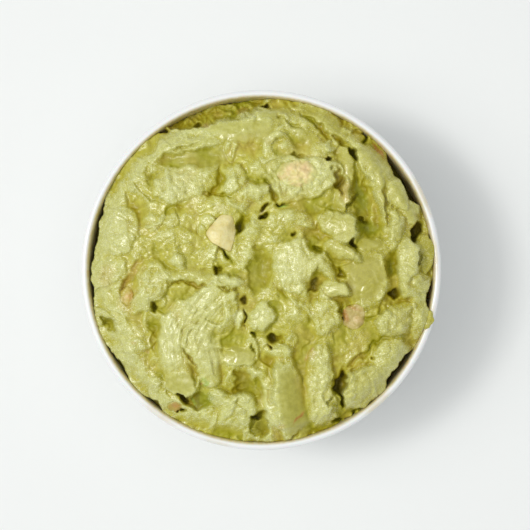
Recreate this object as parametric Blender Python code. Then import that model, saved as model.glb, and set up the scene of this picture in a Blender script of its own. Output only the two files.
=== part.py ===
"""Guacamole heaped in a small round porcelain bowl, seen in the photo from straight above.

Metres, +Z up. The origin is on the table, under the bowl's axis.
Sizes below are in millimetres, and mm turns them into metres where a mesh is made.
"""
import math
from collections import namedtuple

import bmesh
import bpy
import numpy as np

mm = 0.001

# Bowl
RIM_RADIUS = 60.0
BOWL_HEIGHT = 58.0
WALL = 2.5
FOOT_RADIUS = 29.5
FOOT_HEIGHT = 3.6
FOOT_RING_WIDTH = 3.2
FOOT_RECESS = 2.2
FOOT_SLANT = 0.5
WALL_FLARE = 5.0
WALL_ROUNDNESS = 2.4
BOWL_SEGMENTS = 64
WALL_STEPS = 8
LIP_STEPS = 4

# Heap of guacamole
HEAP_RISE = 7.0
HEAP_RADIUS = 56.5
HEAP_FALL = 2.8
EDGE_START = 51.0
EDGE_DROP = 2.5
CLEARANCE = 0.35
TOP_RINGS = 56
SIDE_LEVELS = 6
TRIANGLES_KEPT = 0.36

# A dab is a spoonful pressed on the heap: a tilted, slightly crowned patch with steep sides.
# Length and width are half sizes. x, y, length, width, sag and rise are in mm, turn and uphill in
# degrees, slope and edge in mm per mm. Smooth is 1 where the spoon wiped the clumps flat, and taper
# is how much wider the far end is.
Dab = namedtuple("Dab", "name x y length width turn sag rise slope uphill edge smooth taper")
# A hollow is a pit or a crease that the dabs leave between them.
Hollow = namedtuple("Hollow", "name x y length width turn sag depth wall")
# A wall gap is a stretch where the guacamole has come away from the bowl.
WallGap = namedtuple("WallGap", "name first last inner depth")
# A lump is a firm piece of avocado that lies in a pocket of the heap.
Lump = namedtuple("Lump", "name x y length width turn corners corner_depth up down rise colour")

DABS = [
    Dab("upper flap", -8, 45.6, 14, 4, 3, 0, 1.4, 0.05, 60, 2.5, 0.9, 0.3),
    Dab("upper flap right", 7, 50.5, 8.5, 3.2, -12, 0, 1, 0.08, 200, 2, 0.8, 0),
    Dab("rim band", 24, 48.3, 13, 3, -36, -1, 1.2, 0.1, 60, 1.6, 0.6, -0.3),
    Dab("inner band", 15, 44, 8, 2.4, -35, -0.5, 0.9, 0.1, 90, 2, 0.6, 0),
    Dab("left of smear", -33, 41.5, 5.5, 3.6, 40, 0, 0.9, 0.1, 330, 2, 0.3, 0),
    Dab("light grain", -27, 27.5, 8, 6.5, 10, 0, 1.3, 0.06, 0, 2, 0, 0.15),
    Dab("upper left slope", -43.5, 31, 11, 5.5, 62, 0, 0.6, 0.04, 0, 1.4, 0, 0),
    Dab("smear foot", -17, 39.5, 9, 2.2, 6, 0.8, 1, 0.12, 90, 2, 0.5, 0),
    Dab("shell", -11.5, 29.5, 6.2, 4, 20, 0, 0.9, 0.1, 340, 2.2, 0, 0.25),
    Dab("shell lip", -5.5, 24, 8, 2.2, 15, 0.6, 1.1, 0.12, 60, 2, 0, 0),
    Dab("top middle", -1, 34, 5.5, 4.6, 0, 0, 1, 0.06, 0, 1.8, 0, 0),
    Dab("over pink", 7, 41, 6.5, 3, -25, 0, 0.9, 0.1, 40, 2, 0, 0),
    Dab("beside pink", 18.6, 30, 7.5, 5.8, 72, 0.5, 2.2, 0.12, 0, 3, 0, -0.2),
    Dab("above pink", 18.5, 39.5, 5.5, 3.2, -20, 0, 1.2, 0.08, 0, 2.2, 0, 0),
    Dab("olive step", 27.2, 34.5, 7, 3.4, 100, 0, 0.9, 0.14, 10, 2.6, 0.7, 0.3),
    Dab("lobe", 26.2, 25, 5.5, 3, 80, 0, 1.2, 0.16, 0, 2.6, 0.6, 0),
    Dab("wall flake", 38.5, 34, 9.5, 4.4, -52, 0.6, 1.8, 0.08, 200, 2.4, 0.5, 0.3),
    Dab("long ridge", 38.2, 27.5, 11.5, 1.5, -70, 1.4, 2.4, 0.05, 200, 1.6, 0.6, 0),
    Dab("tip flake", 45.2, 24.5, 5, 3.6, -48, 0, 2.4, 0.1, 30, 2.6, 0.5, -0.5),
    Dab("outer flake", 49.8, 18.8, 4.2, 2.6, -62, 0, 1.8, 0.1, 20, 2.6, 0.6, -0.3),
    Dab("left field", -46.5, 12.5, 8, 5.4, 85, 0, 1.3, 0.05, 330, 2, 0, 0.2),
    Dab("left grain", -49.5, -1.5, 6, 4.4, 80, 0, 0.9, 0.1, 0, 2, 0, 0),
    Dab("left fold", -37.5, -7, 9.5, 6, 60, -1, 1.5, 0.05, 200, 2, 0, 0.25),
    Dab("middle left", -32, 12.5, 8, 6, -20, 0, 1, 0.04, 90, 1.6, 0, 0.25),
    Dab("small curl", -28, 1.2, 3.6, 2.2, -50, 1.2, 1.6, 0.1, 45, 2.4, 0, 0),
    Dab("band over swirl", -25, -4.3, 7.5, 1.8, 15, 0, 1.2, 0.1, 90, 2, 0, 0),
    Dab("swirl head", -17.5, -14, 9, 8.4, -35, 0, 2.2, 0.07, 50, 3, 0.45, 0),
    Dab("swirl arm", -29.5, -26, 10.5, 4, 100, 1, 2, 0.05, 0, 2.4, 0.6, -0.2),
    Dab("tongue", -26.6, -36.4, 6.4, 4.6, -20, 0, 2.2, 0.1, 320, 3.2, 1, 0),
    Dab("second lobe", -16.6, -29.5, 9.5, 4.8, 104, 0.6, 2.8, 0.05, 180, 2.6, 0.5, 0.2),
    Dab("left lower", -41.5, -24, 8, 4.2, 112, 0, 1.3, 0.06, 180, 2, 0, 0),
    Dab("low left", -37.5, -37, 6.5, 4.4, 135, 0, 0.9, 0.05, 60, 2, 0, 0),
    Dab("above lump", -13, 20.5, 6, 2.6, 0, 0, 0.8, 0.08, 90, 1.8, 0, 0),
    Dab("left of lump", -22, 8.5, 4.5, 5, 0, 0, 0.9, 0.06, 180, 1.8, 0, 0),
    Dab("centre left", -5.5, 4.5, 3.6, 5.5, 0, 0, 0.8, 0.1, 0, 2, 0, 0),
    Dab("centre bump", -3, 12, 3.6, 4.6, 0, 0, 1, 0.06, 90, 1.8, 0, 0),
    Dab("pale sliver", -9, -3.5, 5, 1.7, -4, 0, 1.4, 0.1, 90, 2.6, 0, -0.3),
    Dab("right block", 10.6, 1.4, 8.4, 7.2, 82, 0, 2.3, 0.06, 0, 2.6, 0, 0),
    Dab("block ridge", 13.2, 1.5, 6.5, 1.4, 95, 0.4, 2.9, 0, 0, 1.8, 0, 0),
    Dab("upper middle", 8.5, 15.5, 7, 4, 10, 0, 1.2, 0.06, 45, 2, 0, 0),
    Dab("right flap", 24.6, 14.4, 6.6, 4.2, -18, 0.6, 2.6, 0.1, 350, 3.2, 0.5, 0.3),
    Dab("lower flap", 25.6, 6.6, 6.8, 2.4, -22, 0, 2.2, 0.14, 20, 3, 0.5, -0.35),
    Dab("curl block", 21.3, 1, 4.6, 2.2, 128, 0, 2.5, 0.1, 180, 2.6, 0, 0),
    Dab("smooth dome", 34.2, -2.6, 9, 7.6, 80, 0, 1.6, 0.03, 0, 1.4, 0.9, 0),
    Dab("band over dome", 36.2, 8.6, 4.6, 2.2, 0, 0, 1.4, 0.1, 270, 1.8, 0.9, 0),
    Dab("right field", 48, 2.6, 7.2, 3.8, 88, -0.8, 2.6, 0.1, 0, 3, 0, 0.2),
    Dab("right field top", 44.8, 13.6, 5.5, 2.2, 84, 0, 2.2, 0.1, 180, 2.2, 0, 0),
    Dab("right low", 52.4, -8, 6.2, 3, 98, 0, 2, 0.12, 20, 2.2, 0, 0),
    Dab("patch", 48.8, -6.4, 3.4, 2.4, 0, 0, 2, 0.05, 0, 1.8, 0, 0),
    Dab("lower right field", 45.5, -16.5, 6.6, 5, 20, 0, 2, 0.06, 180, 2, 0, 0.2),
    Dab("right rim", 52.8, -17, 5.2, 2.8, 80, 0, 2.4, 0.1, 0, 2, 0, 0),
    Dab("under block", -0.4, -14.6, 4.2, 3.8, 60, 0, 1.8, 0.1, 0, 2.6, 0.4, 0),
    Dab("centre low", 12, -13.5, 5, 4.6, 0, 0, 1.2, 0.06, 0, 1.8, 0, 0),
    Dab("white curl", 24, -6.8, 4.8, 2.8, -8, 0.4, 2.6, 0.1, 0, 3, 0.6, -0.3),
    Dab("middle right", 20, -15, 5.5, 6, 0, 0, 1.6, 0.05, 0, 1.8, 0, 0),
    Dab("smooth step", -7, -27.2, 6, 2.2, 4, 0, 1.2, 0.1, 270, 2.6, 0.9, 0),
    Dab("step below", -3.5, -32.6, 5, 1.8, -25, 0, 0.8, 0.12, 30, 2.2, 0, 0),
    Dab("grain pad", 5, -27, 4.2, 2.8, -10, 0, 1.4, 0.06, 0, 2, 0, 0),
    Dab("big facet", 9.8, -42.5, 14.5, 5.6, 95, 0, 2.4, 0.12, 180, 2.4, 1, -0.45),
    Dab("facet flank", 2.8, -43.6, 8.5, 3.2, 98, 1, 1.7, 0.18, 0, 2.6, 0, -0.3),
    Dab("right grain", 19.2, -38, 13, 4.6, 88, 0, 2.2, 0.06, 0, 2.8, 0, -0.25),
    Dab("right foot", 20.6, -49.5, 4.5, 3.2, 30, 0, 1.6, 0.06, 40, 2.8, 0, 0),
    Dab("low right flap", 35.4, -38.2, 9, 5.4, 32, 0, 2.6, 0.06, 160, 2.6, 0.3, -0.25),
    Dab("right lower field", 42.5, -29, 6.6, 5.4, 50, 0, 2.4, 0.05, 0, 2.2, 0, 0),
    Dab("bottom left lump", -8.6, -46, 6.6, 5, -18, 0, 1.9, 0.06, 60, 2.4, 0, 0.2),
    Dab("bottom left flake", -14.2, -42.6, 3.2, 2.8, 0, 0, 1.8, 0.06, 60, 2.2, 0, 0),
    Dab("bottom edge", 1.5, -55.4, 6, 1.8, 2, 0, 1.6, 0, 0, 1.6, 0, 0),
]

HOLLOWS = [
    Hollow("smear", -24.5, 36.9, 11.5, 3, 8, 0.6, 1, 1.6),
    Hollow("smear crease", -25, 40.6, 5.2, 0.7, 14, 0, 1.8, 0.8),
    Hollow("shell crescent", -16.4, 29.8, 6.2, 1.1, 62, -2.2, 2.4, 0.8),
    Hollow("grain left edge", -35.4, 29.5, 7.5, 1, 102, 0.8, 1.6, 1),
    Hollow("left groove", -43, -0.5, 7.6, 1.2, 54, -1, 2.4, 1),
    Hollow("left valley", -44.2, 26, 5, 1, 90, 0, 1.4, 1),
    Hollow("fibre pit", 1, 17.8, 1.9, 1, 10, 0, 5, 0.6),
    Hollow("pink top pit", 12.4, 37.6, 2.8, 0.7, 0, 0.3, 2.6, 0.7),
    Hollow("round hole", 22.7, 36.8, 0.9, 0.9, 0, 0, 5, 0.5),
    Hollow("pink right", 25.6, 31.5, 3.4, 0.9, 108, 0, 3.4, 0.8),
    Hollow("slit by step", 30.9, 38.4, 2.6, 0.8, -52, 0, 5, 0.7),
    Hollow("lobe right", 29.6, 22.6, 3.4, 0.9, 58, 0, 3, 0.8),
    Hollow("green hollow", 33.4, 24, 8, 2.4, 100, 0, 2.6, 1.2),
    Hollow("green hollow low", 35.4, 14, 4.2, 2.4, 0, 0, 2.8, 1.2),
    Hollow("green hollow pit", 33.8, 16.4, 1.6, 0.9, -20, 0, 3, 0.8),
    Hollow("ridge right", 41.4, 22.6, 5, 0.8, 95, 0, 2.6, 0.8),
    Hollow("ridge foot", 42, 16.6, 2.2, 1, 90, 0, 2.2, 0.8),
    Hollow("lump pit", -7, 14.4, 3.2, 1.5, 70, 0, 7, 0.8),
    Hollow("lump slit", -11.6, 4.8, 2.9, 0.8, -46, 0, 6, 0.7),
    Hollow("left pit", -14.2, -0.4, 1.9, 1.4, -40, 0, 6, 0.8),
    Hollow("swirl pit", -6.2, -10.2, 1.2, 1, 40, 0, 6, 0.7),
    Hollow("centre valley", 0.3, 1.6, 6, 2.8, 92, 0, 2.4, 1.4),
    Hollow("tiny pit", 10.4, 12.6, 1, 0.7, 20, 0, 4, 0.5),
    Hollow("flap pit", 31, 8.8, 1.6, 1, 110, 0, 5, 0.8),
    Hollow("block right", 18.8, 6.4, 1.6, 0.9, 120, 0, 3, 0.8),
    Hollow("curl pit", 18.4, -5.2, 3, 0.9, 38, 0.5, 3.4, 0.8),
    Hollow("dome left", 26.8, -0.8, 1.8, 0.8, 90, 0, 3, 0.8),
    Hollow("chunk left", 27, -14.4, 2.6, 0.8, -68, 0, 2.6, 0.8),
    Hollow("right hollow", 43, 0.8, 3.6, 1.8, 82, 0, 3, 1.2),
    Hollow("square hole", 43.5, -7.7, 1.8, 1.8, 0, 0, 6, 0.6),
    Hollow("dark hole", -34.6, -12.4, 2.1, 1.4, -35, 0, 6, 0.9),
    Hollow("arm valley", -34.6, -23, 8, 1.3, 92, 0, 2.4, 1.2),
    Hollow("lobe foot", -22.2, -36, 3.6, 0.9, 112, 0, 2.6, 0.8),
    Hollow("tongue slit", -25.2, -42.9, 2.8, 0.8, -38, 0, 6, 0.7),
    Hollow("green foot", -20.6, -43.4, 3.2, 2.4, 60, 0, 3.4, 1.2),
    Hollow("rim pit", -26.4, -47, 1.7, 0.9, 0, 0, 5, 0.8),
    Hollow("left crag", -51, -16.8, 2.6, 1.2, 60, 0, 4, 0.9),
    Hollow("main pit", 4.8, -22, 3.2, 1.4, -18, 0, 6, 0.9),
    Hollow("low valley", -3.8, -37.6, 6, 2.6, -35, 0, 2.6, 1.4),
    Hollow("valley foot", -7, -38.6, 3, 1.4, 20, 0, 1.6, 1.2),
    Hollow("bottom pit", -0.8, -47.8, 2, 1.6, 10, 0, 6, 0.9),
    Hollow("bottom valley", -0.4, -52, 3.6, 2.6, 80, 0, 3.4, 1.2),
    Hollow("deep pit", 26.6, -38.4, 4.2, 2.2, 88, 0, 8, 1),
    Hollow("deep pit tail", 27, -43.6, 2.6, 0.8, -72, 0, 5, 0.8),
    Hollow("pit left", 23.2, -43.2, 1.2, 1, 0, 0, 4, 0.8),
    Hollow("crease", 34.4, -26.4, 9, 0.9, 40, -0.8, 1.8, 0.9),
    Hollow("spot", 36.8, -28.8, 0.9, 0.7, 0, 0, 2.4, 0.6),
    Hollow("corner", 25.4, -50.4, 2.4, 1.2, 25, 0, 4, 0.8),
    Hollow("band crease", 10.4, 48.4, 5.2, 0.8, -32, 0, 1.8, 0.9),
    Hollow("rim crease", 18.6, 47.4, 7.6, 1.2, -46, 0.8, 2.4, 1),
    Hollow("rim crease low", 27.2, 43, 4.8, 1.2, -36, 0, 2.2, 1),
    Hollow("wall spot", 33.8, 43.8, 1.8, 0.7, -58, 0, 5, 0.7),
    Hollow("wall hole", 2, 54.2, 1.7, 1, 0, 0, 6, 0.7),
    Hollow("flake hole", 51.6, 12.4, 3.8, 2, 72, 0, 9, 0.8),
    Hollow("blob slit", 53, 4.4, 3.2, 0.7, 78, 0, 7, 0.7),
    Hollow("shelf hole", -32.6, 45.8, 1.5, 0.9, 15, 0, 6, 0.7),
    Hollow("shelf pit", -21.2, 48.3, 1.7, 1, 25, 0, 4, 0.7),
]

WALL_GAPS = [
    WallGap("left wall gap", 168, 194, 54.3, 10),
    WallGap("upper left wall gap", 149, 168, 54.6, 9),
    WallGap("lower left wall gap", 206, 218, 54, 6),
    WallGap("low wall gap", 226, 234, 54.4, 5),
    WallGap("right wall gap", 20, 44, 53.2, 12),
    WallGap("right low gap", 346, 358, 55.3, 7),
    WallGap("low right gap", 315, 333, 54.3, 11),
]

SHELF = Hollow("low shelf at the back", -14, 55.4, 19, 6.2, 19, 0, 7.5, 1.6)

LUMPS = [
    Lump("pale_lump", -12.0, 11.6, 7.0, 4.6, 104, 3, 0.16, 2.6, 4.2, 1.2, (0.74, 0.68, 0.38)),
    Lump("pink_lump", 11.8, 31.6, 9.6, 4.9, 12, 3, 0.10, 1.8, 3.4, 2.0, (0.80, 0.62, 0.36)),
    Lump("brown_chunk", 30.6, -15.4, 5.2, 4.0, -62, 4, 0.07, 1.6, 3.6, 1.4, (0.56, 0.43, 0.18)),
    Lump("left_chunk", -44.4, -8.6, 4.6, 2.6, 82, 3, 0.08, 1.4, 3.2, 0.9, (0.60, 0.46, 0.17)),
    Lump("rim_chunk", -28.8, -45.4, 3.0, 1.9, -8, 3, 0.10, 1.4, 2.6, 0.6, (0.62, 0.38, 0.12)),
]

DAB_SQUARENESS = 2.3
DAB_RISE = 1.25
DAB_TILT = 2.2
DAB_CROWN = 0.9
DAB_BLEND = 0.5
DAB_CALM = 0.85
DAB_MERGE = 0.3
TAPER_REACH = 1.3
# A hollow's floor curves up to this share of its depth at the foot of its wall
HOLLOW_FLOOR = 0.35
HOLLOW_WALL = 0.6
# A wall gap narrows towards its two ends by this much, in mm
GAP_CURL = 3.2
GAP_WALL = (-0.3, 0.6)

# Broad swells of the heap, then clumps: wavelength, height and middle level of each size, in mm
SWELL_SIZE = 9.0
SWELL_HEIGHT = 0.7
CLUMPS = [(7.5, 1.8, 0.54), (3.8, 1.0, 0.30)]
CLUMP_DRIFT_SIZE = 7.0
CLUMP_DRIFT = 1.6
# Ragged outlines: wavelength and push, in mm
RAGGED = [(6.0, 1.1), (2.2, 0.45)]

LUMP_SIDES = 20
LUMP_RINGS = (1.0, 0.9, 0.68, 0.36)
POCKET_REACH = 16.0
NOISE_CELLS = 128


def gradient_noise(x, y, size, seed):
    """Smooth noise of one wavelength, about -1 to 1, the same on every run."""
    angles = np.random.default_rng(seed).uniform(0.0, 2.0 * np.pi, (NOISE_CELLS, NOISE_CELLS))
    u = x / size + NOISE_CELLS / 2
    v = y / size + NOISE_CELLS / 2
    i = np.floor(u).astype(int)
    j = np.floor(v).astype(int)
    f = u - i
    g = v - j

    def corner(di, dj):
        angle = angles[(i + di) % NOISE_CELLS, (j + dj) % NOISE_CELLS]
        return np.cos(angle) * (f - di) + np.sin(angle) * (g - dj)

    fade_f = f ** 3 * (f * (f * 6 - 15) + 10)
    fade_g = g ** 3 * (g * (g * 6 - 15) + 10)
    low = corner(0, 0) * (1 - fade_f) + corner(1, 0) * fade_f
    high = corner(0, 1) * (1 - fade_f) + corner(1, 1) * fade_f
    return 1.5 * (low * (1 - fade_g) + high * fade_g)


def ease(value, low, high):
    """0 below low, 1 above high, smooth between."""
    t = np.clip((value - low) / (high - low), 0.0, 1.0)
    return t * t * (3.0 - 2.0 * t)


def soft_max(a, b, blend):
    return np.maximum(a, b) + np.maximum(blend - np.abs(a - b), 0.0) ** 2 / (4.0 * blend)


def local_frame(x, y, form):
    """Coordinates along and across a dab or hollow, 1 at its ends; sag bends its long axis."""
    c = math.cos(math.radians(form.turn))
    s = math.sin(math.radians(form.turn))
    along = ((x - form.x) * c + (y - form.y) * s) / form.length
    across = (-(x - form.x) * s + (y - form.y) * c - form.sag * (1 - along ** 2)) / form.width
    return along, across


def heap(x, y):
    """Plain heap, in mm above the rim, before any dab."""
    r = np.hypot(x, y)
    crown = HEAP_RISE * (1.0 - (r / HEAP_RADIUS) ** HEAP_FALL)
    return crown - EDGE_DROP * ease(r, EDGE_START, HEAP_RADIUS)


def ragged_place(x, y):
    """Places pushed about a little, so that every outline drawn with them is torn."""
    px = x + sum(push * gradient_noise(x, y, size, 1 + n) for n, (size, push) in enumerate(RAGGED))
    py = y + sum(push * gradient_noise(x, y, size, 3 + n) for n, (size, push) in enumerate(RAGGED))
    return px, py


def clumps(x, y):
    """Rounded clumps with sharp valleys between them."""
    sx = x + CLUMP_DRIFT * gradient_noise(x, y, CLUMP_DRIFT_SIZE, 11)
    sy = y + CLUMP_DRIFT * gradient_noise(x, y, CLUMP_DRIFT_SIZE, 12)
    relief = 0.0
    for n, (size, height, middle) in enumerate(CLUMPS):
        relief = relief + height * np.abs(gradient_noise(sx, sy, size, 13 + n)) - middle
    return relief


def add_dab(height, calm, dome, x, y, px, py, dab):
    """Height and calmness once this dab is pressed on; px and py are the ragged places."""
    along, across = local_frame(px, py, dab)
    across = across / (1.0 + dab.taper * np.clip(along, -TAPER_REACH, TAPER_REACH))
    rho = (np.abs(along) ** DAB_SQUARENESS + np.abs(across) ** DAB_SQUARENESS) ** (1 / DAB_SQUARENESS)
    uphill = math.radians(dab.uphill)
    tilt = DAB_TILT * dab.slope * ((x - dab.x) * math.cos(uphill) + (y - dab.y) * math.sin(uphill))
    top = dome + DAB_RISE * dab.rise + tilt - DAB_CROWN * np.minimum(rho, 1.0) ** 4
    top = top - np.maximum(rho - 1.0, 0.0) * min(dab.length, dab.width) * dab.edge
    covers = ease(top - height, -DAB_MERGE, DAB_MERGE)
    calm = calm * (1 - covers) + dab.smooth * covers * (1 - ease(rho, 0.7, 1.05))
    return soft_max(height, top, DAB_BLEND), calm


def sink_hollow(height, x, y, hollow):
    along, across = local_frame(x, y, hollow)
    rho = np.hypot(along, across)
    outside = (rho - 1.0) * min(hollow.length, hollow.width)
    floor = HOLLOW_FLOOR + (1 - HOLLOW_FLOOR) * np.sqrt(np.maximum(1.0 - rho ** 2, 0.0))
    return height - hollow.depth * floor * ease(-outside, -HOLLOW_WALL * hollow.wall, HOLLOW_WALL * hollow.wall)


def sink_wall_gap(height, x, y, ragged_radius, gap):
    angle = np.degrees(np.arctan2(y, x)) % 360
    middle = 0.5 * (gap.first + gap.last)
    off = np.abs((angle - middle + 180) % 360 - 180) / (0.5 * (gap.last - gap.first))
    edge = gap.inner + GAP_CURL * np.minimum(off, 1.0) ** 3
    beyond = ease(ragged_radius, edge + GAP_WALL[0], edge + GAP_WALL[1])
    return height - gap.depth * beyond * (off < 1.0)


def surface(x, y):
    """Top of the guacamole in mm above the rim, for arrays of places in mm."""
    px, py = ragged_place(x, y)
    dome = heap(x, y)
    height = dome + SWELL_HEIGHT * gradient_noise(x, y, SWELL_SIZE, 5)
    calm = np.zeros_like(height)
    for dab in DABS:
        height, calm = add_dab(height, calm, dome, x, y, px, py, dab)
    height = height + clumps(x, y) * (1.0 - DAB_CALM * calm)
    for hollow in [SHELF] + HOLLOWS:
        height = sink_hollow(height, px, py, hollow)
    for gap in WALL_GAPS:
        height = sink_wall_gap(height, x, y, np.hypot(px, py), gap)
    return height


def wall_curve(offset, steps):
    """Bowl wall from foot to lip as (r, z), moved inwards by offset."""
    power = 2.0 / WALL_ROUNDNESS
    reach = RIM_RADIUS - FOOT_RADIUS - WALL_FLARE
    tall = BOWL_HEIGHT - WALL / 2 - FOOT_HEIGHT

    def point(step):
        turn = 0.5 * math.pi * min(max(step / steps, 0.0), 1.0)
        s = 1.0 - max(math.cos(turn), 0.0) ** power
        return FOOT_RADIUS + reach * math.sin(turn) ** power + WALL_FLARE * s, FOOT_HEIGHT + tall * s

    curve = []
    for step in range(steps + 1):
        r0, z0 = point(step - 0.01)
        r1, z1 = point(step + 0.01)
        long = math.hypot(r1 - r0, z1 - z0)
        r, z = point(step)
        curve.append((r - offset * (z1 - z0) / long, z + offset * (r1 - r0) / long))
    return curve


def new_object(name, mesh_bm, colour, roughness):
    """Object with a smooth-shaded mesh and its own material."""
    mesh = bpy.data.meshes.new(name)
    bmesh.ops.recalc_face_normals(mesh_bm, faces=mesh_bm.faces)
    mesh_bm.to_mesh(mesh)
    mesh_bm.free()
    obj = bpy.data.objects.new(name, mesh)
    bpy.context.scene.collection.objects.link(obj)
    material = bpy.data.materials.new(name)
    material.use_nodes = True
    shader = material.node_tree.nodes["Principled BSDF"]
    shader.inputs["Base Color"].default_value = (*colour, 1.0)
    shader.inputs["Roughness"].default_value = roughness
    shader.inputs["Metallic"].default_value = 0.0
    mesh.materials.append(material)
    mesh.shade_smooth()
    return obj


def make_bowl():
    """Turned porcelain bowl: foot ring, full round wall, rounded lip."""
    outer = wall_curve(0.0, WALL_STEPS)
    inner = wall_curve(WALL, WALL_STEPS)
    lip_r = 0.5 * (outer[-1][0] + inner[-1][0])
    lip = []
    for step in range(1, LIP_STEPS):
        turn = math.pi * step / LIP_STEPS
        lip.append((lip_r + WALL / 2 * math.cos(turn), outer[-1][1] + WALL / 2 * math.sin(turn)))
    ring_inside = FOOT_RADIUS - FOOT_RING_WIDTH
    foot = [
        (0.0, FOOT_RECESS),
        (ring_inside - FOOT_SLANT, FOOT_RECESS),
        (ring_inside, 0.0),
        (FOOT_RADIUS - FOOT_SLANT, 0.0),
    ]
    profile = foot + outer + lip + inner[::-1] + [(0.0, inner[0][1])]

    bowl = bmesh.new()
    verts = [bowl.verts.new((r * mm, 0.0, z * mm)) for r, z in profile]
    edges = [bowl.edges.new(pair) for pair in zip(verts, verts[1:])]
    bmesh.ops.spin(
        bowl, geom=verts + edges, cent=(0, 0, 0), axis=(0, 0, 1), angle=2 * math.pi,
        steps=BOWL_SEGMENTS, use_merge=True, use_duplicate=False,
    )
    bmesh.ops.remove_doubles(bowl, verts=bowl.verts, dist=1e-6)
    return new_object("bowl", bowl, (0.90, 0.90, 0.89), 0.16)


def ring_places(rings):
    """Directions and fractions of a disc of even triangles: ring k has 6 k corners."""
    places = [(0.0, 0.0)]
    for k in range(1, rings + 1):
        for n in range(6 * k):
            places.append((2 * math.pi * n / (6 * k), k / rings))
    return np.array(places)


def ring_faces(rings):
    """Triangles of that disc, anticlockwise seen from above."""
    faces = []
    start_inner = 0
    start_outer = 1
    for k in range(1, rings + 1):
        inner_count = max(6 * (k - 1), 1)
        outer_count = 6 * k
        for side in range(6):
            for n in range(k):
                a = start_outer + side * k + n
                b = start_outer + (side * k + n + 1) % outer_count
                c = start_inner + (side * (k - 1) + n) % inner_count
                faces.append((a, b, c))
                if n < k - 1:
                    d = start_inner + (side * (k - 1) + n + 1) % inner_count
                    faces.append((b, d, c))
        start_inner = start_outer
        start_outer += outer_count
    return faces


def make_guacamole():
    """Heap with its dabs and pits on top, and sides and bottom that fit the bowl."""
    wall = wall_curve(WALL + CLEARANCE, 200)
    wall_r = [r for r, z in wall]
    wall_z = [z for r, z in wall]
    disc = ring_places(TOP_RINGS)
    turn, part = disc[:, 0], disc[:, 1]
    edge_level = BOWL_HEIGHT + surface(wall_r[-1] * np.cos(turn), wall_r[-1] * np.sin(turn))
    reach = np.interp(edge_level, wall_z, wall_r)
    x = part * reach * np.cos(turn)
    y = part * reach * np.sin(turn)
    z = BOWL_HEIGHT + surface(x, y)

    solid = bmesh.new()
    verts = [solid.verts.new((px * mm, py * mm, pz * mm)) for px, py, pz in zip(x, y, z)]
    for face in ring_faces(TOP_RINGS):
        solid.faces.new([verts[n] for n in face])

    around = 6 * TOP_RINGS
    upper = verts[-around:]
    edge_z = z[-around:]
    for level in range(1, SIDE_LEVELS + 1):
        lower = []
        for n in range(around):
            fall = level / SIDE_LEVELS
            low_z = edge_z[n] + (wall_z[0] - edge_z[n]) * fall
            low_r = np.interp(low_z, wall_z, wall_r)
            angle = 2 * math.pi * n / around
            place = (low_r * math.cos(angle) * mm, low_r * math.sin(angle) * mm, low_z * mm)
            lower.append(solid.verts.new(place))
        for n in range(around):
            m = (n + 1) % around
            solid.faces.new((upper[n], lower[n], lower[m], upper[m]))
        upper = lower
    bottom = solid.verts.new((0.0, 0.0, wall_z[0] * mm))
    for n in range(around):
        solid.faces.new((upper[n], bottom, upper[(n + 1) % around]))
    bmesh.ops.triangulate(solid, faces=solid.faces)
    guacamole = new_object("guacamole", solid, (0.47, 0.48, 0.10), 0.35)

    lighter = guacamole.modifiers.new("fewer triangles", "DECIMATE")
    lighter.ratio = TRIANGLES_KEPT
    return guacamole


def lump_ring(lump, fraction, grow):
    """Corners of one level ring of a lump, in mm."""
    ring = []
    c = math.cos(math.radians(lump.turn))
    s = math.sin(math.radians(lump.turn))
    for n in range(LUMP_SIDES):
        angle = 2 * math.pi * n / LUMP_SIDES
        wave = 1.0 + lump.corner_depth * math.cos(lump.corners * angle)
        along = (lump.length + grow) * wave * fraction * math.cos(angle)
        across = (lump.width + grow) * wave * fraction * math.sin(angle)
        ring.append((lump.x + along * c - across * s, lump.y + along * s + across * c))
    return ring


def lump_level(lump, x, y, lift):
    """Height of a lump's corner: its middle plane follows the heap."""
    return BOWL_HEIGHT + float(heap(x, y)) + lump.rise + lift


def lump_solid(lump, grow, top_reach=None):
    """Closed lump; with top_reach its upper half is a straight shaft, for cutting its pocket."""
    solid = bmesh.new()

    def add_ring(fraction, lift):
        return [
            solid.verts.new((x * mm, y * mm, lump_level(lump, x, y, lift) * mm))
            for x, y in lump_ring(lump, fraction, grow)
        ]

    def swell(fraction, thickness):
        return thickness * (1.0 - fraction ** 2.4) ** 0.6

    levels = [add_ring(f, -swell(f, lump.down + grow)) for f in LUMP_RINGS[::-1]]
    if top_reach is None:
        levels += [add_ring(f, swell(f, lump.up)) for f in LUMP_RINGS[1:]]
        top_lift = lump.up
    else:
        levels.append(add_ring(1.0, top_reach))
        top_lift = top_reach
    for low, high in zip(levels, levels[1:]):
        for n in range(LUMP_SIDES):
            m = (n + 1) % LUMP_SIDES
            solid.faces.new((low[n], low[m], high[m], high[n]))
    for ring, lift in ((levels[0], -lump.down - grow), (levels[-1], top_lift)):
        level = lump_level(lump, lump.x, lump.y, lift)
        middle = solid.verts.new((lump.x * mm, lump.y * mm, level * mm))
        for n in range(LUMP_SIDES):
            solid.faces.new((ring[n], ring[(n + 1) % LUMP_SIDES], middle))
    bmesh.ops.triangulate(solid, faces=solid.faces)
    return solid


def make_lump(lump, guacamole):
    """One firm piece, and the pocket that the guacamole keeps for it."""
    new_object(lump.name, lump_solid(lump, 0.0), lump.colour, 0.4)
    cutter = new_object(lump.name + "_pocket", lump_solid(lump, CLEARANCE, POCKET_REACH), lump.colour, 0.4)
    cutter.hide_render = True
    cutter.display_type = "WIRE"
    pocket = guacamole.modifiers.new("pocket of " + lump.name, "BOOLEAN")
    pocket.operation = "DIFFERENCE"
    pocket.solver = "EXACT"
    pocket.object = cutter


def build():
    for obj in list(bpy.data.objects):
        bpy.data.objects.remove(obj)
    make_bowl()
    guacamole = make_guacamole()
    for lump in LUMPS:
        make_lump(lump, guacamole)


build()
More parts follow.
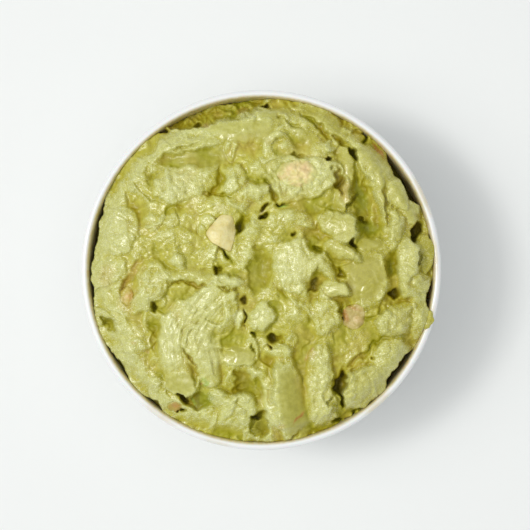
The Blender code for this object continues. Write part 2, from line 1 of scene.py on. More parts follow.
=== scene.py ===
import math
from collections import namedtuple

import bpy
import numpy as np
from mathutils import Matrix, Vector


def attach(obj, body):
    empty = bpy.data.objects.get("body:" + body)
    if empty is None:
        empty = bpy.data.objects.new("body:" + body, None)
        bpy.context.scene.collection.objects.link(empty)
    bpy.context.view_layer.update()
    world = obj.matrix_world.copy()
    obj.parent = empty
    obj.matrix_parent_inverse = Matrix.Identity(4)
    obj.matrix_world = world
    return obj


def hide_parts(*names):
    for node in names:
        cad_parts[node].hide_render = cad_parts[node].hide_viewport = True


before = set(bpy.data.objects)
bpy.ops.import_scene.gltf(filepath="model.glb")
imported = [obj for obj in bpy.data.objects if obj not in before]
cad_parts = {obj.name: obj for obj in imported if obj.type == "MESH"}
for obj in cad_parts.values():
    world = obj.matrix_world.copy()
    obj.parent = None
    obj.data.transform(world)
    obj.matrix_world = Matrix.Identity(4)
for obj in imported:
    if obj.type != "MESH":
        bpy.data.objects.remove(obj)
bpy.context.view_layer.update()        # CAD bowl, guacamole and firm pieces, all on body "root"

# Guacamole heaped in a small round porcelain bowl.
# Places are in millimetres seen from above, x to the right and y to the photo's top edge.
mm = 0.001
rimHeight = 58.0         # height of the bowl; heights of the heap count from here
print("frame loaded")

cameraLook = {
    "middle": (1.33, 1.67),      # mm, straight under the lens
    "distance": 650.0,           # mm above the lip
    "lipLevel": 56.75,
    "halfWidth": 88.33,          # mm at the lip's level, from the picture's middle to its edge
    "sensor": 36.0,
}


def makeCamera():
    look = cameraLook
    data = bpy.data.cameras.new("camera")
    data.sensor_width = look["sensor"]
    data.lens = look["sensor"] / 2 * look["distance"] / look["halfWidth"]
    data.clip_start = 0.01
    data.clip_end = 20.0
    camera = bpy.data.objects.new("camera", data)
    x, y = look["middle"]
    camera.location = (x * mm, y * mm, (look["lipLevel"] + look["distance"]) * mm)
    bpy.context.scene.collection.objects.link(camera)
    bpy.context.scene.camera = camera


lightLook = {
    # azimuth and elevation in degrees, side and distance in m, light on the table where 1 is full white
    "soft box": (178.0, 60.0, 1.6, 3.0, 0.23, (1.0, 0.99, 0.965)),
    "lamp": (174.0, 62.0, 0.5, 3.0, 0.21, (1.0, 0.99, 0.965)),
    "ceiling": (0.0, 88.0, 2.4, 3.0, 0.155, (1.0, 1.0, 1.0)),
    "sky": (0.97, 0.99, 1.0),
    "skyStrength": 0.50,
}


def makeLight(name):
    azimuth, elevation, side, distance, light, colour = lightLook[name]
    azimuth, elevation = math.radians(azimuth), math.radians(elevation)
    data = bpy.data.lights.new(name, "AREA")
    data.shape = "SQUARE"
    data.size = side
    data.color = colour
    data.energy = light * (math.pi * distance) ** 2 / math.sin(elevation)
    towards = Vector((
        math.cos(azimuth) * math.cos(elevation),
        math.sin(azimuth) * math.cos(elevation),
        math.sin(elevation),
    ))
    lamp = bpy.data.objects.new(name, data)
    lamp.location = towards * distance
    lamp.rotation_mode = "QUATERNION"
    lamp.rotation_quaternion = towards.to_track_quat("Z", "Y")
    bpy.context.scene.collection.objects.link(lamp)


def makeSky():
    world = bpy.data.worlds.new("studio")
    world.use_nodes = True
    sky = world.node_tree.nodes["Background"]
    sky.inputs["Color"].default_value = (*lightLook["sky"], 1.0)
    sky.inputs["Strength"].default_value = lightLook["skyStrength"]
    bpy.context.scene.world = world
    bpy.context.scene.view_settings.view_transform = "Standard"


def newMaterial(name, **sockets):
    # what is the same all over is set on the shader's own sockets
    material = bpy.data.materials.new(name)
    material.use_nodes = True
    tree = material.node_tree
    shader = tree.nodes["Principled BSDF"]
    for key, value in sockets.items():
        shader.inputs[key.replace("_", " ")].default_value = value
    return material, tree, shader


def objectPlaces(tree):
    return tree.nodes.new("ShaderNodeTexCoord").outputs["Object"]


def noiseOf(tree, places, size, detail=2.0, roughness=0.5):
    # size is the grain in mm
    node = tree.nodes.new("ShaderNodeTexNoise")
    node.inputs["Scale"].default_value = 1.0 / (size * mm)
    node.inputs["Detail"].default_value = detail
    node.inputs["Roughness"].default_value = roughness
    tree.links.new(places, node.inputs["Vector"])
    return node.outputs["Fac"]


noiseRange = (0.35, 0.65)        # what most of a noise node's values lie between


def spread(tree, value, fromLow, fromHigh, toLow, toHigh):
    node = tree.nodes.new("ShaderNodeMapRange")
    numbers = (fromLow, fromHigh, toLow, toHigh)
    for key, number in zip(("From Min", "From Max", "To Min", "To Max"), numbers):
        node.inputs[key].default_value = number
    tree.links.new(value, node.inputs["Value"])
    return node.outputs["Result"]


def sums(tree, operation, a, b):
    # a and b are sockets or plain numbers
    node = tree.nodes.new("ShaderNodeMath")
    node.operation = operation
    for socket, value in zip(node.inputs, (a, b)):
        if isinstance(value, (int, float)):
            socket.default_value = value
        else:
            tree.links.new(value, socket)
    return node.outputs["Value"]


def blendColours(tree, factor, a, b, kind="MIX"):
    # a and b are sockets or colours
    node = tree.nodes.new("ShaderNodeMix")
    node.data_type = "RGBA"
    node.blend_type = kind
    node.clamp_factor = True
    if isinstance(factor, (int, float)):
        node.inputs["Factor"].default_value = factor
    else:
        tree.links.new(factor, node.inputs["Factor"])
    for socket, value in zip(node.inputs[6:8], (a, b)):
        if isinstance(value, tuple):
            socket.default_value = (*value, 1.0)
        else:
            tree.links.new(value, socket)
    return node.outputs[2]


def bumpOf(tree, shader, height, distance, strength):
    # distance is in mm
    node = tree.nodes.new("ShaderNodeBump")
    node.inputs["Distance"].default_value = distance * mm
    node.inputs["Strength"].default_value = strength
    tree.links.new(height, node.inputs["Height"])
    tree.links.new(node.outputs["Normal"], shader.inputs["Normal"])


def attributeOf(tree, name, socket="Fac"):
    node = tree.nodes.new("ShaderNodeAttribute")
    node.attribute_name = name
    return node.outputs[socket]


def readPlaces(piece):
    flat = np.empty(len(piece.data.vertices) * 3, dtype=np.float32)
    piece.data.vertices.foreach_get("co", flat)
    return flat.reshape(-1, 3).astype(float)


def writePlaces(piece, places):
    piece.data.vertices.foreach_set("co", np.asarray(places, dtype=np.float32).ravel())
    piece.data.update()


def writeValues(piece, name, values):
    layer = piece.data.attributes.new(name, "FLOAT", "POINT")
    layer.data.foreach_set("value", np.asarray(values, dtype=np.float32).ravel())


def writeColours(piece, name, colours):
    layer = piece.data.attributes.new(name, "FLOAT_COLOR", "POINT")
    rgba = np.ones((len(colours), 4), dtype=np.float32)
    rgba[:, :3] = colours
    layer.data.foreach_set("color", rgba.ravel())


def cloudedTint(tree, places, dark, light):
    # the painted colour of each point, times an uneven shade between dark and light
    cloud = spread(tree, noiseOf(tree, places, 1.7, 3.0, 0.6), *noiseRange, 0.0, 1.0)
    shade = blendColours(tree, cloud, dark, light)
    return blendColours(tree, 1.0, attributeOf(tree, "tint", "Color"), shade, "MULTIPLY")


def finishPiece(piece, name, material):
    piece.name = name
    piece.data.name = name
    piece.data.materials.clear()
    piece.data.materials.append(material)
    piece.data.shade_smooth()
    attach(piece, "root")


noiseCells = 128


def gradientNoise(x, y, size, seed):
    # smooth noise of one wavelength in mm, about -1 to 1, the same on every run
    angles = np.random.default_rng(seed).uniform(0.0, 2.0 * np.pi, (noiseCells, noiseCells))
    u = x / size + noiseCells / 2
    v = y / size + noiseCells / 2
    i = np.floor(u).astype(int)
    j = np.floor(v).astype(int)
    f = u - i
    g = v - j

    def corner(di, dj):
        angle = angles[(i + di) % noiseCells, (j + dj) % noiseCells]
        return np.cos(angle) * (f - di) + np.sin(angle) * (g - dj)

    fadeF = f ** 3 * (f * (f * 6 - 15) + 10)
    fadeG = g ** 3 * (g * (g * 6 - 15) + 10)
    low = corner(0, 0) * (1 - fadeF) + corner(1, 0) * fadeF
    high = corner(0, 1) * (1 - fadeF) + corner(1, 1) * fadeF
    return 1.5 * (low * (1 - fadeG) + high * fadeG)


def layered(x, y, rows):
    # rows of wavelength in mm, height or share, and seed
    return sum(tall * gradientNoise(x, y, size, seed) for size, tall, seed in rows)


def ease(value, low, high):
    # 0 below low, 1 above high, smooth between
    t = np.clip((value - low) / (high - low), 0.0, 1.0)
    return t * t * (3.0 - 2.0 * t)


def turned(x, y, middleX, middleY, degrees):
    # mm along and across something that lies turned round its middle
    c, s = math.cos(math.radians(degrees)), math.sin(math.radians(degrees))
    return (x - middleX) * c + (y - middleY) * s, -(x - middleX) * s + (y - middleY) * c


def softMax(a, b, blend):
    # the higher of two forms, their meeting rounded
    return np.maximum(a, b) + np.maximum(blend - np.abs(a - b), 0.0) ** 2 / (4.0 * blend)


bowlLook = {
    "rim": 60.0,                 # mm, outer radius
    "wall": 2.5,
    "foot": 29.5,
    "footHeight": 3.6,
    "footRing": 3.2,             # width of the ring that it stands on
    "footRecess": 2.2,
    "footSlant": 0.5,
    "flare": 5.0,
    "roundness": 2.4,
    "wallSteps": 40,
    "lipSteps": 12,
    "sides": 192,
    "glaze": (0.86, 0.865, 0.855),
    "cool": (0.80, 0.83, 0.84),
    "glazeCloud": (18.0, 0.35),  # grain in mm, and share of the cool white
    # film colour: a guacamole film, and also painted warm bounce light on the upper inner wall and the lip's
    # inner edge
    "filmAndBounce": (0.60, 0.50, 0.22),
    "filmTorn": (2.4, 0.40, 0.6, 0.7),    # grain in mm, the noise from and to, least cover
    "filmEnd": (57.6, 58.6),     # mm from the axis
    "filmLow": 36.0,             # mm, lowest height of the film
    "rough": 0.14,
    "filmRough": 0.3,            # what the film adds
    "ripple": (9.0, 0.12, 0.5),  # grain and height in mm, strength
    # thin smears on the lip: middle and half width in degrees, radius and half breadth in mm, strength
    "smears": [
        (25, 7, 59.3, 1.0, 0.55), (-49, 6, 59.2, 1.2, 0.5), (-125, 7, 59.0, 1.0, 0.35),
        (-104, 5, 59.4, 0.8, 0.3),
        (5, 9, 58.0, 1.1, 0.7), (-16, 5, 58.2, 1.2, 0.7), (62, 7, 57.8, 0.8, 0.5), (-62, 9, 57.8, 0.8, 0.5),
        (150, 12, 57.6, 0.5, 0.3), (-146, 20, 57.6, 0.6, 0.6), (178, 12, 57.5, 0.5, 0.3),
    ],
    "smearFade": (0.4, 1.3),
    "smearLow": 55.0,            # mm, lowest height of a smear
}


def wallCurve(offset, steps):
    # bowl wall from foot to lip as (r, z), moved inwards by offset
    look = bowlLook
    power = 2.0 / look["roundness"]
    reach = look["rim"] - look["foot"] - look["flare"]
    tall = rimHeight - look["wall"] / 2 - look["footHeight"]

    def point(step):
        turn = 0.5 * math.pi * min(max(step / steps, 0.0), 1.0)
        s = 1.0 - max(math.cos(turn), 0.0) ** power
        r = look["foot"] + reach * math.sin(turn) ** power + look["flare"] * s
        return r, look["footHeight"] + tall * s

    curve = []
    near = 0.01
    for step in range(steps + 1):
        r0, z0 = point(step - near)
        r1, z1 = point(step + near)
        length = math.hypot(r1 - r0, z1 - z0)
        r, z = point(step)
        curve.append((r - offset * (z1 - z0) / length, z + offset * (r1 - r0) / length))
    return curve


def porcelain():
    look = bowlLook
    material, tree, shader = newMaterial(
        "glazed porcelain", IOR=1.5, Coat_Weight=0.35, Coat_Roughness=0.06,
        Subsurface_Weight=0.08, Subsurface_Scale=0.004,
    )
    places = objectPlaces(tree)
    size, share = look["glazeCloud"]
    cloudy = spread(tree, noiseOf(tree, places, size, 3.0), *noiseRange, 0.0, share)
    glaze = blendColours(tree, cloudy, look["glaze"], look["cool"])
    # a thin film of guacamole on the inner wall, down to where the heap hides it; on the upper wall and the
    # lip's inner edge the same tint is also painted warm bounce light from the mash
    size, low, high, least = look["filmTorn"]
    torn = spread(tree, noiseOf(tree, places, size, 4.0, 0.6), low, high, least, 1.0)
    cover = sums(tree, "MULTIPLY", attributeOf(tree, "filmAndBounce"), torn)
    tinted = blendColours(tree, cover, glaze, look["filmAndBounce"])
    tree.links.new(tinted, shader.inputs["Base Color"])
    rough = sums(tree, "ADD", sums(tree, "MULTIPLY", cover, look["filmRough"]), look["rough"])
    tree.links.new(rough, shader.inputs["Roughness"])
    size, tall, strength = look["ripple"]
    bumpOf(tree, shader, noiseOf(tree, places, size, 1.0), tall, strength)
    return material


def makeBowl():
    look = bowlLook
    outer = wallCurve(0.0, look["wallSteps"])
    inner = wallCurve(look["wall"], look["wallSteps"])
    lipRadius = 0.5 * (outer[-1][0] + inner[-1][0])
    half = look["wall"] / 2
    lip = []
    for step in range(1, look["lipSteps"]):
        turn = math.pi * step / look["lipSteps"]
        lip.append((lipRadius + half * math.cos(turn), outer[-1][1] + half * math.sin(turn)))
    inside = look["foot"] - look["footRing"]
    foot = [
        (0.0, look["footRecess"]),
        (inside - look["footSlant"], look["footRecess"]),
        (inside, 0.0),
        (look["foot"] - look["footSlant"], 0.0),
    ]
    profile = foot + outer + lip + inner[::-1] + [(0.0, inner[0][1])]

    # a line of points, drawn by extruding one vertex, and spun round the axis
    bpy.ops.object.select_all(action="DESELECT")
    bpy.ops.mesh.primitive_plane_add(size=0.01)
    piece = bpy.context.object
    bpy.ops.object.mode_set(mode="EDIT")
    bpy.ops.mesh.select_all(action="SELECT")
    bpy.ops.mesh.merge(type="CENTER")
    for _ in profile[1:]:
        bpy.ops.mesh.extrude_region_move(TRANSFORM_OT_translate={"value": (0.001, 0.0, 0.0)})
    bpy.ops.object.mode_set(mode="OBJECT")
    order = np.argsort(readPlaces(piece)[:, 0])
    places = np.zeros((len(profile), 3))
    for vertex, (r, z) in zip(order, profile):
        places[vertex] = (r * mm, 0.0, z * mm)
    writePlaces(piece, places)
    bpy.ops.object.mode_set(mode="EDIT")
    bpy.ops.mesh.select_all(action="SELECT")
    bpy.ops.mesh.spin(
        steps=look["sides"], angle=2 * math.pi, center=(0, 0, 0), axis=(0, 0, 1), use_auto_merge=True,
    )
    bpy.ops.mesh.select_all(action="SELECT")
    bpy.ops.mesh.remove_doubles(threshold=0.00001)
    bpy.ops.mesh.normals_make_consistent(inside=False)
    bpy.ops.object.mode_set(mode="OBJECT")

    at = readPlaces(piece) / mm
    r = np.hypot(at[:, 0], at[:, 1])
    # the film, partly painted bounce light, is on the wall's inner side only
    wallMiddle = np.interp(at[:, 2], [z for r0, z in outer], [r0 for r0, z in outer]) - half
    filmAndBounce = (1.0 - ease(r, *look["filmEnd"])) * (at[:, 2] > look["filmLow"]) * (r < wallMiddle)
    turn = np.degrees(np.arctan2(at[:, 1], at[:, 0]))
    for middle, halfTurn, radius, breadth, strength in look["smears"]:
        off = np.hypot(((turn - middle + 180) % 360 - 180) / halfTurn, (r - radius) / breadth)
        smear = strength * (1.0 - ease(off, *look["smearFade"])) * (at[:, 2] > look["smearLow"])
        filmAndBounce = np.maximum(filmAndBounce, smear)
    writeValues(piece, "filmAndBounce", filmAndBounce)
    finishPiece(piece, "porcelainBowl", porcelain())
    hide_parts("bowl")
    print("bowl made,", len(piece.data.polygons), "faces")
    return piece


heapLook = {
    "rise": 7.0,                 # mm, middle of the heap over the rim
    "radius": 56.5,
    "fall": 2.8,
    "edgeStart": 51.0,
    "edgeDrop": 2.5,
    "clearance": 0.04,           # from the bowl's wall
    "rings": 166,                # rings of triangles in the top, of about a third of a mm
    "sideLevels": 5,
    "dabSquareness": 2.3,
    "dabRise": 1.4,
    "dabTilt": 3.0,
    "dabCrown": (0.8, 0.6),      # mm, of a wiped dab, and what a rough one has more
    "crownLift": 0.3,            # share of the crown that lies over the dab's level
    "crownFall": 2.2,
    "dabBlend": 0.8,
    "dabCalm": 0.85,
    "dabMerge": 0.3,
    "calmEdge": (0.7, 1.05),     # where a wiped dab gets rough, 1 at its outline
    "patchFade": (0.6, 1.25),
    "taperReach": 1.3,
    "hollowFloor": 0.35,
    "pitRagged": (2.4, 0.9),     # wavelength and push, as in "ragged"
    "pitLean": 0.75,             # how much steeper a hollow is at the left than at the right
    "pitWidth": 3.2,             # mm, narrower hollows get painted shadow as they get deep
    "pitDeep": (1.8, 5.0),       # mm, where the painted shadow begins and is full
    "pitDark": 0.9,              # how dark the painted shadow is at most
    "pitShade": (0.4, -0.7, 0.3),    # share of the painted shadow on the lit side, and from where to where it grows
    "hollowWall": 0.6,
    "gapCurl": 3.2,              # mm, how much narrower a wall gap is at its ends
    # how dark the painted shadow in a wall gap is
    "gapDark": 0.8,
    "gapWall": (-0.3, 0.6),
    "pocketLift": 0.6,           # mm, how far a pocket's floor lies over its piece's depth
    "standing": [(0.4, 0.4), (1.0, 0.5)],    # of the wider and widest relief: what is full, and share
    "grainAt": (-0.5, 0.3),      # how far a place stands to be grainy and get painted glints
    "litAt": (0.3, -0.7, 0.1),   # least light on it, and from where to where it grows
    "topLimit": (10.6, 0.5),     # mm over the rim, and how softly the highest tops end there
    "fill": (0.9, 0.6, -5.0, 30.0),   # how high the valleys stand, less towards the right
    "swell": [(14.0, 0.9, 6), (9.0, 0.7, 5)],             # wavelength and height in mm, seed
    "folds": [(6.4, 0.75, 7), (3.2, 0.32, 8), (1.8, 0.16, 9)],
    "flaps": [(13.0, 1.0, 71), (7.0, 0.6, 73), (3.8, 0.2, 75)],    # thin overlaps
    "fine": [(1.3, 0.20, 42), (0.7, 0.07, 43)],           # small wet lumps that the light catches
    "finePatches": (0.45, 8.0, -0.2, 0.3),                # least share, wavelength, from and to
    "flapFade": (0.40, 0.13, 0.4),                        # high side, low side, depth of the low side
    "flapLevel": 0.12,                                    # of the noise, at an overlap's edge
    "flapEdge": 0.04,
    "flapPatches": (1.4, -0.15, 0.3),                     # wavelength in flaps, from and to
    "drift": (7.0, 1.6),
    "ragged": [(6.0, 1.1), (2.2, 0.45)],                  # wavelength and push of torn outlines
    "fineRagged": (0.9, 0.14),
    "knobs": [(3.8, 1.7, 0.38), (2.0, 0.8, 0.17), (1.1, 0.35, 0.08)],   # wavelength, height, middle level
    "streaks": [(4.0, 0.66, 0.75), (9.0, 1.9, 1.5)],      # length, width and share of spoon marks
    "streakFade": (0.6, 1.2),
    # name, x, y, half length and width, turn, sag, rise, slope, uphill, edge, smooth, taper
    "dabs": [
        ("upper flap", -8, 45.6, 14, 4, 3, 0, 1.4, 0.05, 60, 2.5, 0.9, 0.3),
        ("upper flap right", 7, 50.5, 8.5, 3.2, -12, 0, 1, 0.08, 200, 2, 0.8, 0),
        ("rim band", 24, 48.3, 13, 3, -36, -1, 1.2, 0.1, 60, 1.6, 0.6, -0.3),
        ("inner band", 15, 44, 8, 2.4, -35, -0.5, 0.9, 0.1, 90, 2, 0.6, 0),
        ("left of smear", -33, 41.5, 5.5, 3.6, 40, 0, 0.9, 0.1, 330, 2, 0.3, 0),
        ("light grain", -26, 28.5, 9.5, 7, 10, 0, 1.1, 0.05, 200, 2, 0, 0.15),
        ("upper left slope", -43.5, 31, 11, 5.5, 62, 0, 0.6, 0.04, 0, 1.4, 0, 0),
        ("smear ridge", -22, 41.2, 9, 1.9, 10, 0.8, 1.9, 0.1, 270, 2.4, 0.4, 0),
        ("shell", -11.5, 29.5, 6.2, 4, 20, 0, 0.9, 0.1, 340, 2.2, 0, 0.25),
        ("shell lip", -5.5, 24, 8, 2.2, 15, 0.6, 1.1, 0.12, 60, 2, 0, 0),
        ("top middle", -1, 34, 5.5, 4.6, 0, 0, 1, 0.06, 0, 1.8, 0, 0),
        ("over pink", 6, 40.6, 5.5, 2.6, -25, 0, 0.9, 0.1, 40, 2, 0, 0),
        ("beside pink", 12.6, 30.2, 12.6, 7.2, 8, 0, 1.5, 0.07, 20, 3.2, 0, 0),
        ("above pink", 18.5, 39.5, 5.5, 3.2, -20, 0, 1.2, 0.08, 0, 2.2, 0, 0),
        ("olive step", 27.2, 34.5, 7, 3.4, 100, 0, 0.9, 0.14, 10, 2.6, 0.7, 0.3),
        ("lobe", 26.2, 25, 5.5, 3, 80, 0, 1.2, 0.16, 0, 2.6, 0.6, 0),
        ("wall flake", 38.5, 34, 9.5, 4.4, -52, 0.6, 1.8, 0.08, 200, 2.4, 0.5, 0.3),
        ("long ridge", 38.2, 27.5, 11.5, 1.5, -70, 1.4, 2.4, 0.05, 200, 1.6, 0.6, 0),
        ("tip flake", 45.2, 24.5, 5, 3.6, -48, 0, 2.4, 0.1, 30, 2.6, 0.5, -0.5),
        ("outer flake", 49.8, 18.8, 4.2, 2.6, -62, 0, 1.8, 0.1, 20, 2.6, 0.6, -0.3),
        ("left field", -46.5, 12.5, 8, 5.4, 85, 0, 1.3, 0.05, 330, 2, 0, 0.2),
        ("left grain", -49.5, -1.5, 6, 4.4, 80, 0, 0.9, 0.1, 0, 2, 0, 0),
        ("left fold", -38.5, -5.5, 9, 5.4, 60, -1, 1.6, 0.07, 330, 2.4, 0, 0.25),
        ("middle left", -32, 12.5, 8, 6, -20, 0, 1, 0.04, 90, 1.6, 0, 0.25),
        ("small curl", -28, 1.2, 3.6, 2.2, -50, 1.2, 1.6, 0.1, 45, 2.4, 0, 0),
        ("band over swirl", -21, -3.2, 12, 2.6, -6, 1.6, 1.9, 0.10, 250, 3.4, 0.3, 0),
        ("swirl head", -20, -14.6, 13, 8.8, 30, -1.5, 2.0, 0.06, 80, 3, 0.1, 0.1),
        ("swirl arm", -28.8, -26, 12, 4.9, 98, 1, 1.9, 0.05, 0, 2.4, 0.35, -0.1),
        ("tongue", -26.4, -36.8, 6.0, 4.4, -20, 0, 2.0, 0.06, 320, 3.2, 1, 0),
        ("second lobe", -17.8, -28, 10.5, 5.6, 102, 0.6, 2.2, 0.05, 180, 2.6, 0.35, 0.2),
        ("left lower", -41.5, -24, 8, 4.2, 112, 0, 1.3, 0.06, 180, 2, 0, 0),
        ("low left", -37.5, -37, 6.5, 4.4, 135, 0, 0.9, 0.05, 60, 2, 0, 0),
        ("above lump", -13, 20.5, 6, 2.6, 0, 0, 0.8, 0.08, 90, 1.8, 0, 0),
        ("left of lump", -22, 8.5, 4.5, 5, 0, 0, 0.9, 0.06, 180, 1.8, 0, 0),
        ("centre left", -5.5, 4.5, 3.6, 5.5, 0, 0, 0.8, 0.1, 0, 2, 0, 0),
        ("centre bump", -3, 12, 3.6, 4.6, 0, 0, 1, 0.06, 90, 1.8, 0, 0),
        ("pale sliver", -10.2, -3.6, 4.6, 1.9, -8, 0, 2.3, 0.12, 100, 3.4, 0.2, -0.3),
        ("right block", 10.6, 1.4, 8.4, 7.2, 82, 0, 2.3, 0.06, 0, 2.6, 0, 0),
        ("block ridge", 13.2, 1.5, 6.5, 1.4, 95, 0.4, 2.9, 0, 0, 1.8, 0, 0),
        ("upper middle", 8.5, 15.5, 7, 4, 10, 0, 1.2, 0.06, 45, 2, 0, 0),
        ("right flap", 24.6, 14.4, 6.6, 4.2, -18, 0.6, 2.6, 0.1, 350, 3.2, 0.5, 0.3),
        ("lower flap", 25.6, 6.6, 6.8, 2.4, -22, 0, 2.2, 0.14, 20, 3, 0.5, -0.35),
        ("curl block", 21.3, 1, 4.6, 2.2, 128, 0, 2.5, 0.1, 180, 2.6, 0, 0),
        ("smooth dome", 34.2, -2.6, 9, 7.6, 80, 0, 1.6, 0.03, 0, 1.4, 0.9, 0),
        ("band over dome", 36.2, 8.6, 4.6, 2.2, 0, 0, 1.4, 0.1, 270, 1.8, 0.9, 0),
        ("right field", 48, 2.6, 7.2, 3.8, 88, -0.8, 2.6, 0.1, 0, 3, 0, 0.2),
        ("right field top", 44.8, 13.6, 5.5, 2.2, 84, 0, 2.2, 0.1, 180, 2.2, 0, 0),
        ("right low", 52.4, -8, 6.2, 3, 98, 0, 2, 0.12, 20, 2.2, 0, 0),
        ("patch", 48.8, -6.4, 3.4, 2.4, 0, 0, 2, 0.05, 0, 1.8, 0, 0),
        ("lower right field", 45.5, -16.5, 6.6, 5, 20, 0, 2, 0.06, 180, 2, 0, 0.2),
        ("right rim", 52.8, -17, 5.2, 2.8, 80, 0, 2.4, 0.1, 0, 2, 0, 0),
        ("under block", -0.4, -15, 5.2, 3.8, 60, 0, 2.0, 0.1, 350, 2.8, 0.3, 0),
        ("small flake", -6.9, -15.6, 3.0, 1.2, 74, 0, 1.6, 0.2, 340, 3.4, 0.4, 0),
        ("centre low", 12, -13.5, 5, 4.6, 0, 0, 1.2, 0.06, 0, 1.8, 0, 0),
        ("white curl", 24, -6.8, 4.8, 2.8, -8, 0.4, 2.6, 0.1, 0, 3, 0.6, -0.3),
        ("middle right", 20, -15, 5.5, 6, 0, 0, 1.6, 0.05, 0, 1.8, 0, 0),
        ("smooth step", -7.2, -28.2, 6, 3.0, 4, 0, 1.4, 0.1, 270, 2.6, 0.9, 0),
        ("step below", -3.5, -32.6, 5, 1.8, -25, 0, 0.8, 0.12, 30, 2.2, 0, 0),
        ("grain pad", 5, -27, 4.2, 2.8, -10, 0, 1.4, 0.06, 0, 2, 0, 0),
        ("big facet", 10.4, -43.8, 13.2, 5.2, 99, 0, 2.6, 0.14, 180, 3.0, 1, -0.05),
        ("facet flank", 3.0, -43.6, 8, 2.2, 100, 1, 1.9, 0.2, 0, 3.0, 0, -0.2),
        ("right grain", 19.2, -38, 13, 4.6, 88, 0, 2.2, 0.06, 0, 2.8, 0, -0.25),
        ("right foot", 20.6, -49.5, 4.5, 3.2, 30, 0, 1.6, 0.06, 40, 2.8, 0, 0),
        ("low right flap", 35.4, -38.2, 9, 5.4, 32, 0, 2.6, 0.06, 160, 2.6, 0.3, -0.25),
        ("right lower field", 42.5, -29, 6.6, 5.4, 50, 0, 2.4, 0.05, 0, 2.2, 0, 0),
        ("bottom left lump", -8.6, -46, 6.6, 5, -18, 0, 1.9, 0.06, 60, 2.4, 0, 0.2),
        ("bottom left flake", -14.2, -42.6, 3.2, 2.8, 0, 0, 1.8, 0.06, 60, 2.2, 0, 0),
        ("bottom edge", 1.5, -55.4, 6, 1.8, 2, 0, 1.6, 0, 0, 1.6, 0, 0),
    ],
    # name, x, y, half length and width, turn, sag, depth, wall
    "hollows": [
        ("shelf", -14, 55.2, 19, 6.0, 19, 0, 4.8, 1.6),
        ("smear", -21.5, 37, 12.5, 3.4, 4, 0.4, 1.3, 2.6),
        ("smear crease", -25, 40.6, 5.2, 0.7, 14, 0, 1.8, 0.8),
        ("shell crescent", -16.0, 29.8, 6.4, 1.2, 62, -2.4, 1.9, 1.4),
        ("crescent foot", -13.5, 25.4, 4.5, 0.6, -8, -0.3, 1.6, 0.6),
        ("grain left edge", -35.4, 29.5, 7.5, 1.2, 102, 0.8, 1.0, 1.4),
        ("left groove", -43, -0.5, 7.6, 1.3, 54, -1, 1.2, 1.6),
        ("left valley", -44.2, 26, 5, 1.2, 90, 0, 0.8, 1.4),
        ("pink foot", 3.4, 26, 5, 0.6, 118, 0, 2.6, 0.6),
        ("black slit", 1.6, 20.8, 2.6, 0.6, 42, 0, 4, 0.6),
        ("green slit", 6.8, 21.7, 2, 0.5, 0, 0, 4, 0.6),
        ("fibre pit", 1, 17.8, 1.9, 1, 10, 0, 5, 0.6),
        ("pink top pit", 12.4, 37.6, 2.8, 0.7, 0, 0.3, 2.6, 0.7),
        ("round hole", 22.7, 36.8, 0.9, 0.9, 0, 0, 5, 0.5),
        ("pink right", 25.4, 29.5, 5.2, 1.2, 104, 0, 3.6, 0.8),
        ("slit by step", 30.9, 38.4, 2.6, 0.8, -52, 0, 5, 0.7),
        ("lobe right", 29.6, 22.6, 3.4, 0.9, 58, 0, 3, 0.8),
        ("green hollow", 33.2, 24, 8.4, 2.8, 100, 0, 2.8, 2.4),
        ("green hollow low", 35.4, 14, 4.6, 2.8, 0, 0, 2.8, 2.4),
        ("green hollow pit", 33.8, 16.4, 1.6, 0.9, -20, 0, 3, 0.8),
        ("ridge right", 41.4, 22.6, 5, 0.8, 95, 0, 2.6, 0.8),
        ("ridge foot", 42, 16.6, 2.2, 1, 90, 0, 2.2, 0.8),
        ("lump pit", -6.6, 14.6, 3.4, 1.6, 62, 0, 4.6, 1.1),
        ("lump slit", -11.6, 4.8, 2.9, 0.7, -46, 0, 4.4, 0.8),
        ("left pit", -14.4, -0.2, 1.8, 1.0, -50, 0, 4.4, 1.0),
        ("swirl edge", -19, -6.6, 12, 0.7, -8, 1.6, 1.8, 0.9),
        ("swirl pit", -6.0, -10, 1.3, 0.8, 40, 0, 4.4, 0.8),
        ("flake slit", -5.3, -16, 2.8, 0.4, 92, 0, 4, 0.5),
        ("centre valley", -0.4, 0.2, 8, 4.0, 84, 0, 2.4, 3.6),
        ("tiny pit", 10.4, 12.6, 1, 0.7, 20, 0, 4, 0.5),
        ("flap pit", 31, 8.8, 1.6, 1, 110, 0, 5, 0.8),
        ("block right", 18.8, 6.4, 1.6, 0.9, 120, 0, 3, 0.8),
        ("curl pit", 18.4, -5.2, 3, 0.9, 38, 0.5, 3.4, 0.8),
        ("dome left", 26.8, -0.8, 1.8, 0.8, 90, 0, 3, 0.8),
        ("chunk left", 27, -14.4, 2.6, 0.8, -68, 0, 2.6, 0.8),
        ("right hollow", 43, 0.8, 4.0, 2.2, 82, 0, 2.8, 2.4),
        ("square hole", 43.6, -7.6, 1.6, 1.5, 0, 0, 5, 0.7),
        ("dark hole", -34.8, -12.4, 1.7, 1.0, -35, 0, 3.6, 1.2),
        ("arm valley", -35, -22, 7, 1.6, 92, 0, 1.0, 2.0),
        ("lobe crack", -23.6, -29.5, 5.2, 0.5, 112, -0.6, 2.4, 0.6),
        ("lobe foot", -21.6, -36.4, 3.2, 0.8, 105, 0, 1.8, 0.9),
        ("tongue slit", -25.2, -42.9, 2.8, 0.8, -38, 0, 6, 0.7),
        ("green foot", -20.6, -43.4, 3.4, 2.6, 60, 0, 3.4, 1.8),
        ("rim pit", -26.4, -47, 1.7, 0.9, 0, 0, 5, 0.8),
        ("left crag", -51.2, -17.6, 3.8, 1.4, -38, 0, 3.0, 1.4),
        ("step slit", -2.2, -26.6, 2.4, 0.4, 102, 0, 2.6, 0.6),
